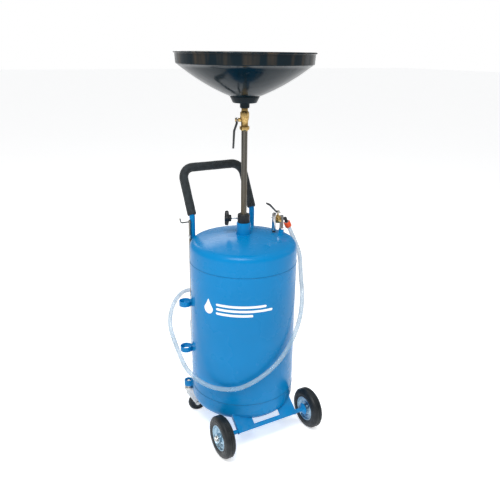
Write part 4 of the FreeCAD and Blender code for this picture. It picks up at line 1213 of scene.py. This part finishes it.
def make_camera(stage):
    """The camera, from its bearing, distance, height and three small turns."""
    data = bpy.data.cameras.new("camera")
    data.lens = stage.lens
    data.sensor_width = 36
    camera = bpy.data.objects.new("camera", data)
    bpy.context.scene.collection.objects.link(camera)
    a = stage.azimuth
    ahead = Vector((-sin(a), cos(a), 0))
    across = Vector((cos(a), sin(a), 0))
    forward = ahead * cos(stage.yaw) + across * sin(stage.yaw)
    right = across * cos(stage.yaw) - ahead * sin(stage.yaw)
    forward = forward * cos(stage.pitch) - UP * sin(stage.pitch)
    top = right.cross(forward)
    tilted = right * cos(stage.roll) + top * sin(stage.roll)
    top = top * cos(stage.roll) - right * sin(stage.roll)
    camera.matrix_world = Matrix((tilted, top, -forward)).transposed().to_4x4()
    camera.location = (sin(a) * stage.distance, -cos(a) * stage.distance, stage.height)
    bpy.context.scene.camera = camera


def make_light(name, where, height, size, power):
    """A rectangular lamp that looks at a point of the mast's axis."""
    data = bpy.data.lights.new(name, "AREA")
    data.shape = "RECTANGLE"
    data.size, data.size_y = size
    data.energy = power
    light = bpy.data.objects.new(name, data)
    light.location = where
    way = Vector((0, 0, height)) - Vector(where)
    light.rotation_euler = way.to_track_quat("-Z", "Y").to_euler()
    bpy.context.scene.collection.objects.link(light)


def make_world():
    """A pale studio, brighter overhead, with soft upright bands that give round metal its streaks."""
    w = Nodes(bpy.data.worlds.new("studio"), "Generated")
    bpy.context.scene.world = w.owner
    bands = w.ramp(w.noise(1.3, 1.0, w.stretched(3.2, 3.2, 0.35)), 0.45, 1.15, 0.38, 0.62)
    sky = bands * w.ramp(w.height(), 0.28, 0.62, 0.0, 0.9)
    light = w.add("ShaderNodeBackground", {}, {"Color": sky})
    sheet = w.add("ShaderNodeBackground", {}, {"Color": (1, 1, 1, 1)})
    seen = w.add("ShaderNodeLightPath", {}, {}, "Is Camera Ray")
    whole = w.add("ShaderNodeMixShader", {}, {"Fac": seen, 1: light, 2: sheet})
    w.add("ShaderNodeOutputWorld", {}, {"Surface": whole})


def make_floor(colour):
    """A wide pale floor that glows a little."""
    reach = 40.0
    corners = [(-reach, -reach, 0), (reach, -reach, 0), (reach, reach, 0), (-reach, reach, 0)]
    floor = new_piece("studio_floor", mesh_of("studio_floor", corners, [(0, 1, 2, 3)]))
    m = Shader("studio_floor")
    tone = m.colours(m.noise(0.8), shade(colour, 0.99), colour)
    glow = {"Emission_Color": tone, "Emission_Strength": 0.62}
    floor.data.materials.append(m.finish(Base_Color=tone, Roughness=0.75, **glow))


def make_stage(stage):
    """The camera, the world, the floor and the lamps."""
    bpy.context.scene.view_settings.view_transform = "Standard"
    make_camera(stage)
    make_world()
    make_floor(stage.floor)
    for name, lamp in LAMPS.items():
        make_light(name, *lamp)


# ---------- operators and panel


def operator(name, label, words, work, group):
    """An operator class that runs one maker function with one group of settings."""

    def execute(self, context):
        work(getattr(context.scene, group))
        return {"FINISHED"}

    members = {"bl_idname": "drainer." + name, "bl_label": label, "bl_options": {"REGISTER", "UNDO"},
               "__doc__": words, "execute": execute}
    return type("DRAINER_OT_" + name, (bpy.types.Operator,), members)


OPERATORS = [
    operator("stage", "Stage", "Make the camera, the lights and the floor", make_stage, "drainer_stage"),
    operator("finishes", "Finishes", "Make every finish and paint the plain pieces", make_finishes,
             "drainer_colours"),
    *(operator(*entry, "drainer_shape") for entry in (
        ("hose", "Hose", "Lay the clear discharge hose", make_hose),
        ("tank", "Tank", "Turn the tank's wall and ends", make_tank),
        ("welds", "Welds", "Run the weld beads", make_welds),
        ("mark", "Mark", "Lay the plain white transfer", make_mark),
        ("bowl", "Bowl", "Turn the drain bowl", make_bowl),
        ("mast", "Mast", "Finish the mast, its socket and collar", make_mast),
        ("knob", "Knob", "Mould the star knob", make_knob),
        ("valves", "Valves", "Finish both ball valves", make_valves),
        ("head", "Discharge head", "Finish the discharge head", make_head),
        ("handle", "Handle", "Finish the handle and its grip", make_handle),
        ("wheels", "Front wheels", "Make the tyres and pressed rims", make_wheels),
        ("casters", "Casters", "Finish the casters and rings", make_casters),
    )),
]


class DRAINER_PT_panel(bpy.types.Panel):
    """The drainer's pieces and settings."""

    bl_label = "Waste oil drainer"
    bl_idname = "DRAINER_PT_panel"
    bl_space_type = "VIEW_3D"
    bl_region_type = "UI"
    bl_category = "Drainer"

    def draw(self, context):
        for maker in OPERATORS:
            self.layout.operator(maker.bl_idname)
        for group, kind in SETTINGS.items():
            box = self.layout.box()
            for name in kind.__annotations__:
                box.prop(getattr(context.scene, group), name)


CLASSES = [*SETTINGS.values(), *OPERATORS, DRAINER_PT_panel]


def register():
    for item in CLASSES:
        bpy.utils.register_class(item)
    for group, kind in SETTINGS.items():
        setattr(bpy.types.Scene, group, PointerProperty(type=kind))


def unregister():
    for group in SETTINGS:
        delattr(bpy.types.Scene, group)
    for item in reversed(CLASSES):
        bpy.utils.unregister_class(item)


def main():
    register()
    for maker in OPERATORS:
        group, name = maker.bl_idname.split(".")
        getattr(getattr(bpy.ops, group), name)()


if __name__ == "__main__":
    main()
